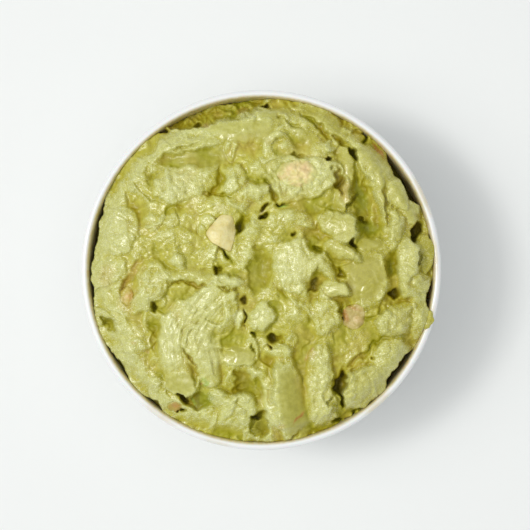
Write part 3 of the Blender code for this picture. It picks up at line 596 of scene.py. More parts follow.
        ("sliver line", -10, -6.1, 3.6, 0.45, -14, 0, 2.4, 0.5),
        ("main pit", 4.8, -22.2, 3.2, 1.3, -18, 0, 4.6, 1.2),
        ("dot", -2.2, -21.3, 0.7, 0.6, 0, 0, 4, 0.5),
        ("pit side", 2.5, -25, 1.1, 0.5, -60, 0, 4, 0.5),
        ("low valley", -3.8, -37.6, 6.4, 3.0, -35, 0, 2.8, 2.6),
        ("valley foot", -7, -38.6, 3, 1.4, 20, 0, 1.6, 1.2),
        ("bottom pit", -0.9, -48, 2.2, 1.1, 14, 0, 5, 0.9),
        ("bottom valley", -0.4, -52, 4, 3, 80, 0, 3.4, 2.2),
        ("deep pit", 26.8, -38.2, 4.6, 2.1, 84, 0, 6.4, 1.5),
        ("deep pit tail", 27, -43.6, 2.6, 0.8, -72, 0, 5, 0.8),
        ("pit left", 23.2, -43.2, 1.4, 1, 40, 0, 2.2, 1.0),
        ("crease", 34.4, -26.4, 9, 0.9, 40, -0.8, 1.8, 0.9),
        ("spot", 36.8, -28.8, 0.9, 0.7, 0, 0, 2.4, 0.6),
        ("corner", 25.4, -50.4, 2.4, 1.2, 25, 0, 4, 0.8),
        ("wall line", 33.5, -46.4, 7.4, 0.45, 32, 0, 3, 0.5),
        ("facet line", 11.2, -55.2, 2.8, 0.4, 45, 0, 2, 0.5),
        ("band crease", 10.4, 48.4, 5.2, 0.8, -32, 0, 1.8, 0.9),
        ("rim crease", 18.6, 47.4, 7.6, 1.2, -46, 0.8, 2.4, 1),
        ("rim crease low", 27.2, 43, 4.8, 1.2, -36, 0, 2.2, 1),
        ("wall spot", 33.8, 43.8, 1.8, 0.7, -58, 0, 5, 0.7),
        ("wall hole", 2, 54.2, 1.7, 1, 0, 0, 6, 0.7),
        ("flake hole", 51.6, 12.4, 3.8, 1.6, 72, 0, 8, 0.8),
        ("blob slit", 53, 4.4, 3.2, 0.7, 78, 0, 7, 0.7),
        ("shelf hole", -32.6, 45.8, 1.5, 0.9, 15, 0, 6, 0.7),
        ("shelf pit", -21.2, 48.3, 1.7, 1, 25, 0, 4, 0.7),
    ],
    # places of rough knobs: x, y, half length, half width, turn, amount
    "knobby": [
        (12, 31, 10, 7, 12, 0.8), (-12, 52.5, 20, 3.8, 12, 1.6), (-49.5, -2, 6, 5, 80, 0.6),
        (45, -16, 8, 8, 0, 0.6), (-27, 28, 8, 7, 0, 0.35), (19, -37, 4.5, 13, 0, 0.4),
        (-40, -29, 6, 12, 30, 0.4), (36, -38, 9, 6, 32, 0.35), (-10, -46, 8, 6, 0, 0.5),
    ],
    # places wiped flat besides the dabs, in the same way
    "wiped": [(-21, 37, 13.5, 3.8, 4, 0.95), (-0.4, 0, 7.5, 3.4, 84, 0.5), (35, -2.6, 8, 7, 0, 0.6)],
    # places with spoon marks: x, y, half length, half width, turn, height in mm, bend
    "streaky": [
        (-20, -15, 14, 9.5, 58, 0.30, 0.012), (-29.5, -26, 12, 5, 98, 0.20, 0),
        (-17.5, -28, 11, 5.5, 102, 0.18, 0),
        (-25, 37, 12, 3.5, 6, 0.12, 0), (-46, 12, 8, 7, -35, 0.22, 0.01), (-27, 28, 8, 7, 20, 0.2, 0.01),
        (11, 1, 9, 7, 80, 0.2, 0), (-32, 12, 9, 7, -20, 0.22, 0.01), (9, -42, 14, 6, 95, 0.07, 0),
        (24, 48, 14, 3, -36, 0.14, 0), (-40, -5, 8, 6, 60, 0.2, 0), (24, 14, 7, 6, -20, 0.16, 0),
        (46, 6, 12, 5, 88, 0.18, 0), (20, -38, 12, 5, 88, 0.18, 0), (36, -36, 10, 7, 32, 0.18, 0),
        (24, -7, 5, 3.5, -8, 0.2, 0),
    ],
    # name, first and last direction in degrees, inner radius, depth
    "wallGaps": [
        ("left wall gap", 152, 197, 55.8, 7),
        ("lower left wall gap", 204, 221, 56.0, 4),
        ("low wall gap", 225, 237, 56.0, 4),
        ("right wall gap", 20, 44, 54.9, 8),
        ("right low gap", 346, 358, 55.6, 6),
        ("low right gap", 315, 333, 55.2, 8),
    ],
}
dabRow = namedtuple("dabRow", "name x y length width turn sag rise slope uphill edge smooth taper")
hollowRow = namedtuple("hollowRow", "name x y length width turn sag depth wall")
gapRow = namedtuple("gapRow", "name first last inner depth")

# firm pieces: middle, sides of the outline (direction in degrees, mm from the middle), how deep they go,
# how far they stand proud, how late their edge falls, height of their roughness, where the flesh ends
# (from and to, as a share of the outline), and slopes of their flat faces (direction, slope)
lumpLook = {
    "pale_lump": {
        "middle": (-12.8, 11.9), "down": 4.2, "proud": 1.9, "edge": 9.0, "rough": 0.12, "bare": (0.96, 1.06),
        "pocket": (0.8, 0.97),
        "sides": [(14, 5.1), (346, 4.6), (86, 6.7), (142, 4.8), (190, 6.0), (215, 4.9), (244, 4.4)],
        "faces": [(190, 0.22), (5, 0.36), (110, 0.30), (290, 0.16)],
    },
    "pink_lump": {
        "middle": (11.8, 31.6), "down": 3.4, "proud": 0.9, "edge": 3.0, "rough": 1.3, "bare": (0.2, 1.15),
        "pocket": (0.66, 0.86),
        "sides": [(0, 8.8), (35, 7.4), (80, 5.8), (110, 5.8), (150, 7.4), (185, 8.6), (225, 6.2), (265, 5),
                  (300, 5.6), (335, 7.4)],
        "faces": [(250, 0.10), (60, 0.10)],
    },
    "brown_chunk": {
        "middle": (30.6, -15.2), "down": 3.6, "proud": 0.35, "edge": 4.0, "rough": 0.8, "bare": (0.75, 1.2),
        "pocket": (0.7, 0.9),
        "sides": [(0, 4.2), (60, 4.6), (100, 4.4), (150, 4.4), (185, 4.2), (240, 4.9), (290, 4.8),
                  (330, 4.6)],
        "faces": [(180, 0.15), (20, 0.12)],
    },
    "left_chunk": {
        "middle": (-44.4, -8.4), "down": 3.2, "proud": 0.15, "edge": 4.0, "rough": 0.6, "bare": (-0.2, 1.0),
        "pocket": (0.66, 0.86),
        "sides": [(0, 2.6), (50, 3.0), (90, 3.6), (140, 3.0), (180, 2.6), (230, 3.2), (270, 4.2), (320, 3.2)],
        "faces": [(180, 0.10)],
    },
    "rim_chunk": {
        "middle": (-28.6, -45.4), "down": 2.6, "proud": 0.5, "edge": 4.0, "rough": 0.5, "bare": (0.6, 1.05),
        "pocket": (0.66, 0.86),
        "sides": [(0, 2.8), (70, 2.0), (120, 2.2), (180, 3.0), (250, 2.0), (300, 2.2)],
        "faces": [(200, 0.2)],
    },
}


def localFrame(x, y, form):
    # along and across a dab or hollow, 1 at its ends; sag bends its long axis
    along, across = turned(x, y, form.x, form.y, form.turn)
    along = along / form.length
    return along, (across - form.sag * (1 - along ** 2)) / form.width


def plainHeap(x, y):
    look = heapLook
    r = np.hypot(x, y)
    crown = look["rise"] * (1.0 - (r / look["radius"]) ** look["fall"])
    return crown - look["edgeDrop"] * ease(r, look["edgeStart"], look["radius"])


def raggedPlace(x, y):
    # torn outlines: each place is pushed about a little
    rows = list(enumerate(heapLook["ragged"]))
    px = x + sum(push * gradientNoise(x, y, size, 1 + n) for n, (size, push) in rows)
    py = y + sum(push * gradientNoise(x, y, size, 3 + n) for n, (size, push) in rows)
    size, push = heapLook["fineRagged"]
    return px + push * gradientNoise(x, y, size, 21), py + push * gradientNoise(x, y, size, 22)


def rounded(noise):
    # knobs: round tops, narrow valleys
    return np.sqrt(noise ** 2 + 0.01) - 0.1


def patchAmount(rows, x, y):
    # 0 to 1, how strongly the rows x, y, half length, half width, turn, amount cover a place
    total = np.zeros_like(x)
    for cx, cy, length, width, turn, amount in rows:
        along, across = turned(x, y, cx, cy, turn)
        rho = np.hypot(along / length, across / width)
        total = np.maximum(total, amount * (1.0 - ease(rho, *heapLook["patchFade"])))
    return total


def roughAt(x, y):
    # knobs where the mash is left rough, smooth folds and thin overlaps elsewhere
    look = heapLook
    size, drift = look["drift"]
    sx = x + drift * gradientNoise(x, y, size, 11)
    sy = y + drift * gradientNoise(x, y, size, 12)
    folds = layered(sx, sy, look["folds"])
    fadeHigh, fadeLow, sunk = look["flapFade"]
    wider, first, last = look["flapPatches"]
    for size, tall, seed in look["flaps"]:
        level = gradientNoise(sx, sy, size, seed) - look["flapLevel"]
        edge = ease(level, -look["flapEdge"], look["flapEdge"])
        some = ease(gradientNoise(x, y, wider * size, seed + 1), first, last)
        high = np.exp(-np.maximum(level, 0.0) / fadeHigh)
        low = np.exp(-np.maximum(-level, 0.0) / fadeLow)
        folds = folds + tall * some * (edge * high - sunk * (1.0 - edge) * low)
    knobs = 0.0
    for n, (size, tall, middle) in enumerate(look["knobs"]):
        knobs = knobs + tall * rounded(gradientNoise(sx, sy, size, 31 + n)) - middle
    return folds, knobs * patchAmount(look["knobby"], x, y)


def heapForm(x, y):
    # top of the guacamole in mm over the rim, how calm it is, from 0 grainy to 1 wiped flat, and how much
    # painted shadow it gets in pits and wall gaps
    look = heapLook
    px, py = raggedPlace(x, y)
    dome = plainHeap(x, y)
    fill, less, first, last = look["fill"]
    height = dome + fill - less * ease(x, first, last)
    height = height + layered(x, y, look["swell"])
    calm = np.zeros_like(height)
    for row in look["dabs"]:
        dab = dabRow(*row)
        along, across = localFrame(px, py, dab)
        across = across / (1.0 + dab.taper * np.clip(along, -look["taperReach"], look["taperReach"]))
        square = look["dabSquareness"]
        rho = (np.abs(along) ** square + np.abs(across) ** square) ** (1 / square)
        uphill = math.radians(dab.uphill)
        climb = (x - dab.x) * math.cos(uphill) + (y - dab.y) * math.sin(uphill)
        crown = look["dabCrown"][0] + look["dabCrown"][1] * (1.0 - dab.smooth)
        top = dome + look["dabRise"] * dab.rise + look["dabTilt"] * dab.slope * climb
        top = top + look["crownLift"] * crown - crown * np.minimum(rho, 1.0) ** look["crownFall"]
        top = top - np.maximum(rho - 1.0, 0.0) * min(dab.length, dab.width) * dab.edge
        covers = ease(top - height, -look["dabMerge"], look["dabMerge"])
        calm = calm * (1 - covers) + dab.smooth * covers * (1 - ease(rho, *look["calmEdge"]))
        height = softMax(height, top, look["dabBlend"])
    calm = np.maximum(calm, patchAmount(look["wiped"], px, py))
    folds, knobs = roughAt(x, y)
    height = height + (folds + knobs) * (1.0 - look["dabCalm"] * calm)
    for n, (cx, cy, length, width, turn, tall, bend) in enumerate(look["streaky"]):
        along, across = turned(x, y, cx, cy, turn)
        fade = 1.0 - ease(np.hypot(along / length, across / width), *look["streakFade"])
        bent = across + bend * along ** 2
        for k, (markLength, markWidth, share) in enumerate(look["streaks"]):
            marks = gradientNoise(along / markLength, bent / markWidth, 1.0, 41 + n + 40 * k)
            height = height + share * tall * fade * marks
    least, size, first, last = look["finePatches"]
    some = least + (1.0 - least) * ease(gradientNoise(x, y, size, 44), first, last)
    height = height + (1.0 - calm) * layered(x, y, look["fine"]) * some
    paintedShadow = np.zeros_like(height)
    size, push = look["pitRagged"]
    qx = px + push * gradientNoise(x, y, size, 23)
    qy = py + push * gradientNoise(x, y, size, 24)
    for row in look["hollows"]:
        hollow = hollowRow(*row)
        along, across = localFrame(qx, qy, hollow)
        rho = np.hypot(along, across)
        outside = (rho - 1.0) * min(hollow.length, hollow.width)
        floor = look["hollowFloor"] + (1 - look["hollowFloor"]) * np.sqrt(np.maximum(1.0 - rho ** 2, 0.0))
        # the side towards the left is steep, the other one slopes
        lean = (x - hollow.x) / np.maximum(np.hypot(x - hollow.x, y - hollow.y), 0.01)
        wall = look["hollowWall"] * hollow.wall * (1.0 + look["pitLean"] * lean)
        sunk = hollow.depth * floor * ease(-outside, -wall, wall)
        height = height - sunk
        # narrow deep hollows get painted shadow, darkest on their left side, which the lamp from the left
        # doesn't reach
        if hollow.width < look["pitWidth"]:
            least, first, last = look["pitShade"]
            shaded = least + (1.0 - least) * ease(-lean, first, last)
            paintedShadow = np.maximum(paintedShadow, ease(sunk, *look["pitDeep"]) * look["pitDark"] * shaded)
    raggedRadius = np.hypot(px, py)
    angle = np.degrees(np.arctan2(y, x)) % 360
    for row in look["wallGaps"]:
        gap = gapRow(*row)
        middle = 0.5 * (gap.first + gap.last)
        off = np.abs((angle - middle + 180) % 360 - 180) / (0.5 * (gap.last - gap.first))
        edge = gap.inner + look["gapCurl"] * np.minimum(off, 1.0) ** 3
        beyond = ease(raggedRadius, edge + look["gapWall"][0], edge + look["gapWall"][1])
        beyond = beyond * np.maximum(1.0 - off ** 6, 0.0)
        height = height - gap.depth * beyond
        # the gap between heap and wall gets painted shadow
        paintedShadow = np.maximum(paintedShadow, look["gapDark"] * beyond)
    top, soft = look["topLimit"]
    over = height > top - soft
    height = np.where(over, top - soft + soft * np.tanh((height - top + soft) / soft), height)
    return height, calm, paintedShadow


def outlineAt(lump, angle):
    # mm from a firm piece's middle to its outline, corners a little rounded
    inverse = 0.0
    for direction, distance in lump["sides"]:
        inverse = inverse + (np.maximum(np.cos(angle - math.radians(direction)), 0.0) / distance) ** 12
    return inverse ** (-1 / 12)


def lumpOutline(lump, x, y):
    # 0 in the lump's middle, 1 on its outline
    dx, dy = x - lump["middle"][0], y - lump["middle"][1]
    return np.hypot(dx, dy) / outlineAt(lump, np.arctan2(dy, dx))


def keepPockets(x, y, height):
    # the heap dips under each firm piece
    for lump in lumpLook.values():
        inside = 1.0 - ease(lumpOutline(lump, x, y), *lump["pocket"])
        under = plainHeap(x, y) - lump["down"] + heapLook["pocketLift"]
        height = np.where(inside > 0.0, height + (np.minimum(under, height) - height) * inside, height)
    return height


def blurred(grid, spacing, reach):
    # Gaussian blur of a square grid, reach in mm
    half = int(3 * reach / spacing)
    steps = np.arange(-half, half + 1) * spacing
    weights = np.exp(-0.5 * (steps / reach) ** 2)
    weights = weights / weights.sum()
    for axis in (0, 1):
        padded = np.pad(grid, [(half, half) if a == axis else (0, 0) for a in (0, 1)], mode="edge")
        grid = sum(w * np.take(padded, range(n, n + grid.shape[axis]), axis) for n, w in enumerate(weights))
    return grid


def fromGrid(grid, spacing, first, x, y):
    u = np.clip((x - first) / spacing, 0, grid.shape[1] - 1.001)
    v = np.clip((y - first) / spacing, 0, grid.shape[0] - 1.001)
    i, j = u.astype(int), v.astype(int)
    f, g = u - i, v - j
    low = grid[j, i] * (1 - f) + grid[j, i + 1] * f
    high = grid[j + 1, i] * (1 - f) + grid[j + 1, i + 1] * f
    return low * (1 - g) + high * g


reliefLook = {"spacing": 0.35, "first": -60.0, "reaches": (0.7, 1.8, 4.5)}
reliefGrids = []


def prepareRelief():
    # the heap's form on a square grid, and blurred ever more
    look = reliefLook
    line = np.arange(look["first"], -look["first"] + look["spacing"], look["spacing"])
    gridX, gridY = np.meshgrid(line, line)
    form, _, _ = heapForm(gridX, gridY)
    reliefGrids.append(form)
    for reach in look["reaches"]:
        reliefGrids.append(blurred(form, look["spacing"], reach))


def softForm(step, x, y):
    # the form itself at step 0, and ever softer after it
    return fromGrid(reliefGrids[step], reliefLook["spacing"], reliefLook["first"], x, y)


def reliefAt(x, y):
    # how far a point stands over its surroundings, near, wider and widest, and its lean to the left, towards
    # the lamp, which the colours use for painted light and shade
    levels = [softForm(step, x, y) for step in range(len(reliefGrids))]
    step = reliefLook["spacing"]
    lean = (softForm(0, x + step, y) - softForm(0, x - step, y)) / (2 * step)
    return [near - wide for near, wide in zip(levels, levels[1:])] + [lean]


# colours are linear; a patch is x, y, half length, half width, turn, colour, strength
tintLook = {
    "base": (0.50, 0.475, 0.055),
    # pale: painted sheen on raised places and on slopes towards the lamp
    "pale": (0.595, 0.605, 0.20),
    # deep, and deepGreen below: painted shade in sunk places and on slopes away from the lamp
    "deep": (0.36, 0.295, 0.004),
    "wiped": (0.45, 0.43, 0.07),
    "right": (0.05, 0.08, 0.25),         # painted shade: what the right part, away from the lamp, has less
    "left": (0.04, 0.05, 0.06),          # and the left part, a slight painted shade
    # colour of the painted shadow in pits and wall gaps
    "paintedShadow": (0.075, 0.058, 0.002),
    "deepGreen": (0.34, 0.335, 0.005),
    # warm: browning in random patches, only in sunk places, where it is partly painted shade
    "warm": (0.57, 0.47, 0.10),
    "relief": [(0.25, 0.3), (0.9, 0.4), (1.8, 0.5), (0.6, 0.3)],    # what counts as full, and share; the last is the lean towards the lamp, for painted light and shade
    "clouds": [(11.0, 0.6, 51), (4.0, 0.4, 52)],
    "cloudShare": 0.12,
    "paleAt": (0.02, 0.6),               # how far a place stands, or leans towards the lamp, to get the pale painted sheen
    "wipedPale": 0.6,                    # what a wiped place gets less of the painted sheen
    "deepAt": (-0.05, 0.7),              # how far it is sunk, or leans away from the lamp, to get the deep painted shade
    "greenPatches": (13.0, -0.3, 0.3),   # wavelength, from and to
    "warmPatches": (9.0, 0.15, 0.6),
    "warmAt": (-0.5, 0.3),
    "warmShare": 0.4,
    "sideStart": 10.0,                   # mm from the middle to where the sides begin and are full
    "sideEnd": 40.0,
    "blackShare": 0.93,
    "patchFade": (0.4, 1.25),
    # dark green and olive below: painted shade for hollows and valleys
    "paintedShadeGreen": (0.30, 0.335, 0.018),
    "brightGreen": (0.36, 0.52, 0.085),
    "paintedShadeOlive": (0.36, 0.34, 0.025),
    "brown": (0.50, 0.34, 0.075),
    "rust": (0.46, 0.20, 0.03),
    "pink": (0.80, 0.56, 0.30),
    "cream": (0.74, 0.68, 0.36),
    # colour of the painted highlights
    "paintedHighlight": (0.68, 0.70, 0.31),
    # painted highlights on the dabs that the light falls on, painted before the valleys
    "lights": [
        (-22, -15, 12, 8, 50, "paintedHighlight", 0.5),
        (-29.5, -24, 11, 4.5, 98, "paintedHighlight", 0.55),
        (-17.5, -27, 10, 5, 102, "paintedHighlight", 0.5),
        (-46.5, 13, 9, 6, 85, "paintedHighlight", 0.2),
        (-27, 28.5, 8.5, 6.5, 0, "paintedHighlight", 0.5),
        (10.5, 1.5, 8.5, 7, 82, "paintedHighlight", 0.6),
        (13, 31.5, 12, 8.5, 10, "paintedHighlight", 0.8),
        (48.5, 2.5, 7, 4, 88, "paintedHighlight", 0.4),
        (2.8, -44, 8, 2.6, 98, "paintedHighlight", 0.6),
        (19.5, -38, 12, 4, 88, "paintedHighlight", 0.35),
        (24.5, -7, 5, 2.6, -8, "paintedHighlight", 0.5),
        (0, -15, 5, 3.6, 60, "paintedHighlight", 0.5),
        (-7, -15.6, 3, 1.3, 74, "paintedHighlight", 0.7),
        (-10.2, -3.6, 4.5, 1.7, -8, "paintedHighlight", 0.6),
        (46, -17, 6, 4.5, 20, "paintedHighlight", 0.3),
        (38, -38, 8, 5, 32, "paintedHighlight", 0.3),
    ],
    # single tinted places, painted last; the dark green and olive ones are painted shade in hollows and
    # valleys
    "patches": [
        (33, 24, 7, 2.6, 100, "paintedShadeGreen", 0.75),
        (35.5, 14, 4.5, 2.6, 0, "paintedShadeGreen", 0.7),
        (43, 1, 3.6, 1.8, 82, "paintedShadeGreen", 0.55),
        (-19, -43, 4.0, 2.8, 40, "paintedShadeGreen", 0.7),
        (-17.4, -37.4, 1.6, 1.0, 60, "brightGreen", 0.7),
        (-18.6, -36.2, 1.4, 0.7, 0, "brightGreen", 0.5),
        (6.8, 20.9, 1.6, 0.5, 0, "brightGreen", 0.8),
        (-22.4, -43.6, 1.6, 0.5, -60, "brightGreen", 0.6),
        (-19.3, -37.7, 0.5, 0.4, 0, "rust", 0.9),
        (12.4, -49, 2.8, 0.55, 64, "rust", 0.9),
        (17.3, -27, 1.4, 0.5, 65, "brown", 0.9),
        (15.6, -29.4, 1.0, 0.4, 20, "brown", 0.6),
        (6.6, -51.8, 1.8, 1.1, 10, "brown", 0.4),
        (-18.5, 48, 2.0, 1.2, 0, "pink", 0.45),
        (28.2, 26, 3.0, 4.2, 0, "brown", 0.45),
        (-51, -2, 3.4, 4.4, 0, "brown", 0.3),
        (17, -28.6, 2.4, 1.4, 40, "brown", 0.35),
        (-14, 52, 2.2, 1.6, 0, "brown", 0.5),
        (39.2, 39.6, 3.8, 0.7, -56, "rust", 0.85),
        (29.5, 26, 1.0, 3.0, 0, "paintedShadeOlive", 0.7),
        (-43.4, -2, 6.5, 1.3, 54, "brown", 0.5),
        (-44.5, -8.5, 5.6, 3.4, 82, "brown", 0.4),
        (-42, -24, 1.2, 0.8, 0, "brown", 0.5),
        (-51, -17.8, 4.6, 2.4, -38, "paintedShadeOlive", 0.7),
        (-38, -27, 1.2, 0.8, 0, "brown", 0.5),
        (-11.5, 51.5, 18, 3.6, 12, "paintedShadeOlive", 0.35),
        (-6, 53.4, 2.2, 1.6, 0, "brown", 0.5),
        (-0.4, -52, 4.6, 3.6, 80, "paintedShadeOlive", 0.6),
        (-4, -38, 6, 2.6, -35, "paintedShadeOlive", 0.5),
        (-0.4, 0, 8, 4.2, 84, "paintedShadeOlive", 0.6),
        (55, 5, 2.4, 6.4, 4, "paintedShadeOlive", 0.5),
        (3, 43, 2.6, 1.6, 0, "cream", 0.3),
        (2.5, 27.5, 1.2, 0.6, 30, "cream", 0.6),
        (0.6, 18.9, 1.8, 0.45, 8, "cream", 0.9),
        (7.4, 21.2, 1.8, 0.6, 10, "brightGreen", 0.6),
        (-16.8, 14.2, 1.2, 0.8, 0, "brown", 0.5),
        (-13, 20, 3, 1.0, 0, "cream", 0.25),
    ],
}
patchRow = namedtuple("patchRow", "x y length width turn colour strength")


def painted(colour, rows, x, y):
    px, py = raggedPlace(x, y)
    for row in rows:
        patch = patchRow(*row)
        along, across = turned(px, py, patch.x, patch.y, patch.turn)
        rho = np.hypot(along / patch.length, across / patch.width)
        amount = patch.strength * (1.0 - ease(rho, *tintLook["patchFade"]))[:, None]
        colour = colour + (np.array(tintLook[patch.colour]) - colour) * amount
    return colour


def heapColours(x, y, relief, calm, paintedShadow):
    look = tintLook
    base, pale, deep, wiped = (np.array(look[name]) for name in ("base", "pale", "deep", "wiped"))
    # painted light and shade: places that stand up or slope towards the lamp go pale, sunk ones or those
    # sloping away go deep
    stand = sum(np.tanh(r / size) * share for r, (size, share) in zip(relief, look["relief"]))
    stand = stand + look["cloudShare"] * layered(x, y, look["clouds"])
    colour = base + (wiped - base) * calm[:, None]
    paintedSheen = ease(stand, *look["paleAt"])[:, None] * (1.0 - look["wipedPale"] * calm[:, None])
    colour = colour + (pale - colour) * paintedSheen
    # painted highlights on the dabs that the light falls on
    colour = painted(colour, look["lights"], x, y)
    # painted shade in sunk places and on slopes away from the lamp, its hue greener in random patches
    size, first, last = look["greenPatches"]
    greener = ease(gradientNoise(x, y, size, 53), first, last)[:, None]
    deep = deep + (np.array(look["deepGreen"]) - deep) * greener
    colour = colour + (deep - colour) * ease(-stand, *look["deepAt"])[:, None]
    # browning in random patches, only in sunk places, partly painted shade
    size, first, last = look["warmPatches"]
    warmer = ease(gradientNoise(x, y, size, 54), first, last) * ease(-stand, *look["warmAt"])
    colour = colour + (np.array(look["warm"]) - colour) * (look["warmShare"] * warmer)[:, None]
    # painted shade: darker towards the right, away from the lamp, and a little on the left
    start, end = look["sideStart"], look["sideEnd"]
    colour = colour * (1.0 - np.array(look["right"]) * ease(x, -start, end)[:, None])
    colour = colour * (1.0 - np.array(look["left"]) * ease(-x, start, end)[:, None])
    colour = painted(colour, look["patches"], x, y)
    # painted shadow in pits and wall gaps
    return colour + (np.array(look["paintedShadow"]) - colour) * look["blackShare"] * paintedShadow[:, None]


mashLook = {
    "dark": (0.88, 0.87, 0.74),
    "light": (1.07, 1.07, 1.16),
    # pale specks painted as glints on the grainy mash
    "paintedGlint": (0.90, 0.92, 0.62),
    "paintedGlints": (0.42, 0.52, 0.74, 0.5),   # painted glints: grain in mm, the noise from and to, share
    "crumbs": (0.6, 0.28),               # grain and height in mm
    "calmCrumbs": 0.1,                   # share of them where the mash is calm
    "wet": (2.6, 0.15, 0.26),            # grain in mm, roughness from and to
    "dull": 0.45,                        # what the sunken places are rougher
    "coat": 0.5,
}


def mash():
    look = mashLook
    material, tree, shader = newMaterial(
        "mashed avocado", IOR=1.5, Specular_IOR_Level=0.35, Subsurface_Weight=0.15,
        Subsurface_Scale=0.0012, Subsurface_Radius=(1.0, 0.9, 0.15), Coat_Roughness=0.18,
    )
    places = objectPlaces(tree)
    grain = attributeOf(tree, "grain")
    lit = attributeOf(tree, "lit")
    tree.links.new(sums(tree, "MULTIPLY", lit, look["coat"]), shader.inputs["Coat Weight"])
    mixed = cloudedTint(tree, places, look["dark"], look["light"])
    # pale painted glints, where the mash is grainy
    size, low, high, share = look["paintedGlints"]
    paintedGlints = spread(tree, noiseOf(tree, places, size, 1.0), low, high, 0.0, share)
    withPaintedGlints = blendColours(tree, sums(tree, "MULTIPLY", paintedGlints, grain), mixed, look["paintedGlint"])
    tree.links.new(withPaintedGlints, shader.inputs["Base Color"])
    size, low, high = look["wet"]
    wet = spread(tree, noiseOf(tree, places, size), *noiseRange, low, high)
    dull = sums(tree, "MULTIPLY", sums(tree, "SUBTRACT", 1.0, lit), look["dull"])
    tree.links.new(sums(tree, "ADD", wet, dull), shader.inputs["Roughness"])
    size, tall = look["crumbs"]
    share = spread(tree, grain, 0.0, 1.0, look["calmCrumbs"], 1.0)
    relief = sums(tree, "MULTIPLY", noiseOf(tree, places, size, 1.0), share)
    bumpOf(tree, shader, relief, tall, 1.0)
    return material


def makeHeap(material):
    look = heapLook
    rings = look["rings"]
    # a fan of six triangles cut into even rings, its border drawn down for the sides
    bpy.ops.object.select_all(action="DESELECT")
    bpy.ops.mesh.primitive_circle_add(vertices=6, radius=1.0, fill_type="TRIFAN")
    piece = bpy.context.object
    bpy.ops.object.mode_set(mode="EDIT")
    bpy.ops.mesh.select_all(action="SELECT")
    bpy.ops.mesh.subdivide(number_cuts=rings // 2 - 1)
    bpy.ops.mesh.subdivide(number_cuts=1)
    bpy.ops.mesh.select_mode(type="EDGE")
    bpy.ops.mesh.select_all(action="DESELECT")
    bpy.ops.mesh.select_non_manifold()
    for _ in range(look["sideLevels"]):
        bpy.ops.mesh.extrude_edges_move(TRANSFORM_OT_translate={"value": (0.0, 0.0, -1.0)})
    bpy.ops.mesh.extrude_edges_move(TRANSFORM_OT_translate={"value": (0.0, 0.0, -1.0)})
    bpy.ops.mesh.merge(type="CENTER")
    bpy.ops.mesh.select_all(action="SELECT")
    bpy.ops.mesh.normals_make_consistent(inside=False)
    bpy.ops.object.mode_set(mode="OBJECT")
    at = readPlaces(piece)
    print("heap cut into", len(at), "points")

    # places of the hexagon become places of the disc, ring by ring
    level = np.round(-at[:, 2]).astype(int)
    turn = np.arctan2(at[:, 1], at[:, 0]) - math.pi / 6
    sector = np.floor(turn / (math.pi / 3))
    inner = turn - sector * math.pi / 3
    both = np.sin(inner) + np.sin(math.pi / 3 - inner)
    fraction = np.hypot(at[:, 0], at[:, 1]) * both / math.sin(math.pi / 3)
    turn = (sector + np.sin(inner) / both) * math.pi / 3 + math.pi / 6

    wall = wallCurve(bowlLook["wall"] + look["clearance"], 200)
    wallR = np.array([r for r, z in wall])
    wallZ = np.array([z for r, z in wall])
    edgeForm, _, _ = heapForm(wallR[-1] * np.cos(turn), wallR[-1] * np.sin(turn))
    reach = np.interp(rimHeight + edgeForm, wallZ, wallR)
    x = fraction * reach * np.cos(turn)
    y = fraction * reach * np.sin(turn)
    height, calm, paintedShadow = heapForm(x, y)
    height = keepPockets(x, y, height)
    z = rimHeight + height
    side = level > 0
    deep = level[side] / look["sideLevels"]
    lowZ = z[side] + (wallZ[0] - z[side]) * np.minimum(deep, 1.0)
    lowR = np.interp(lowZ, wallZ, wallR) * (level[side] <= look["sideLevels"])
    x[side], y[side], z[side] = lowR * np.cos(turn[side]), lowR * np.sin(turn[side]), lowZ
    writePlaces(piece, np.column_stack([x, y, z]) * mm)

    relief = reliefAt(x, y)
    writeColours(piece, "tint", heapColours(x, y, relief, calm, paintedShadow))
    print("relief spreads over", [round(float(r.std()), 3) for r in relief], "mm")
    standing = sum(np.tanh(r / size) * share for r, (size, share) in zip(relief[1:], look["standing"]))
    # where the mash is grainy, on raised places: bumps there, and painted glints
    writeValues(piece, "grain", (1.0 - calm) * ease(standing, *look["grainAt"]) * (1.0 - paintedShadow))
    least, low, high = look["litAt"]
    writeValues(piece, "lit", (1.0 - paintedShadow) * (least + (1.0 - least) * ease(standing, low, high)))
    finishPiece(piece, "guacamoleHeap", material)
    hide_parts("guacamole")
    print("heap shaped, top at", round(float(z.max()), 2), "mm")
    return piece


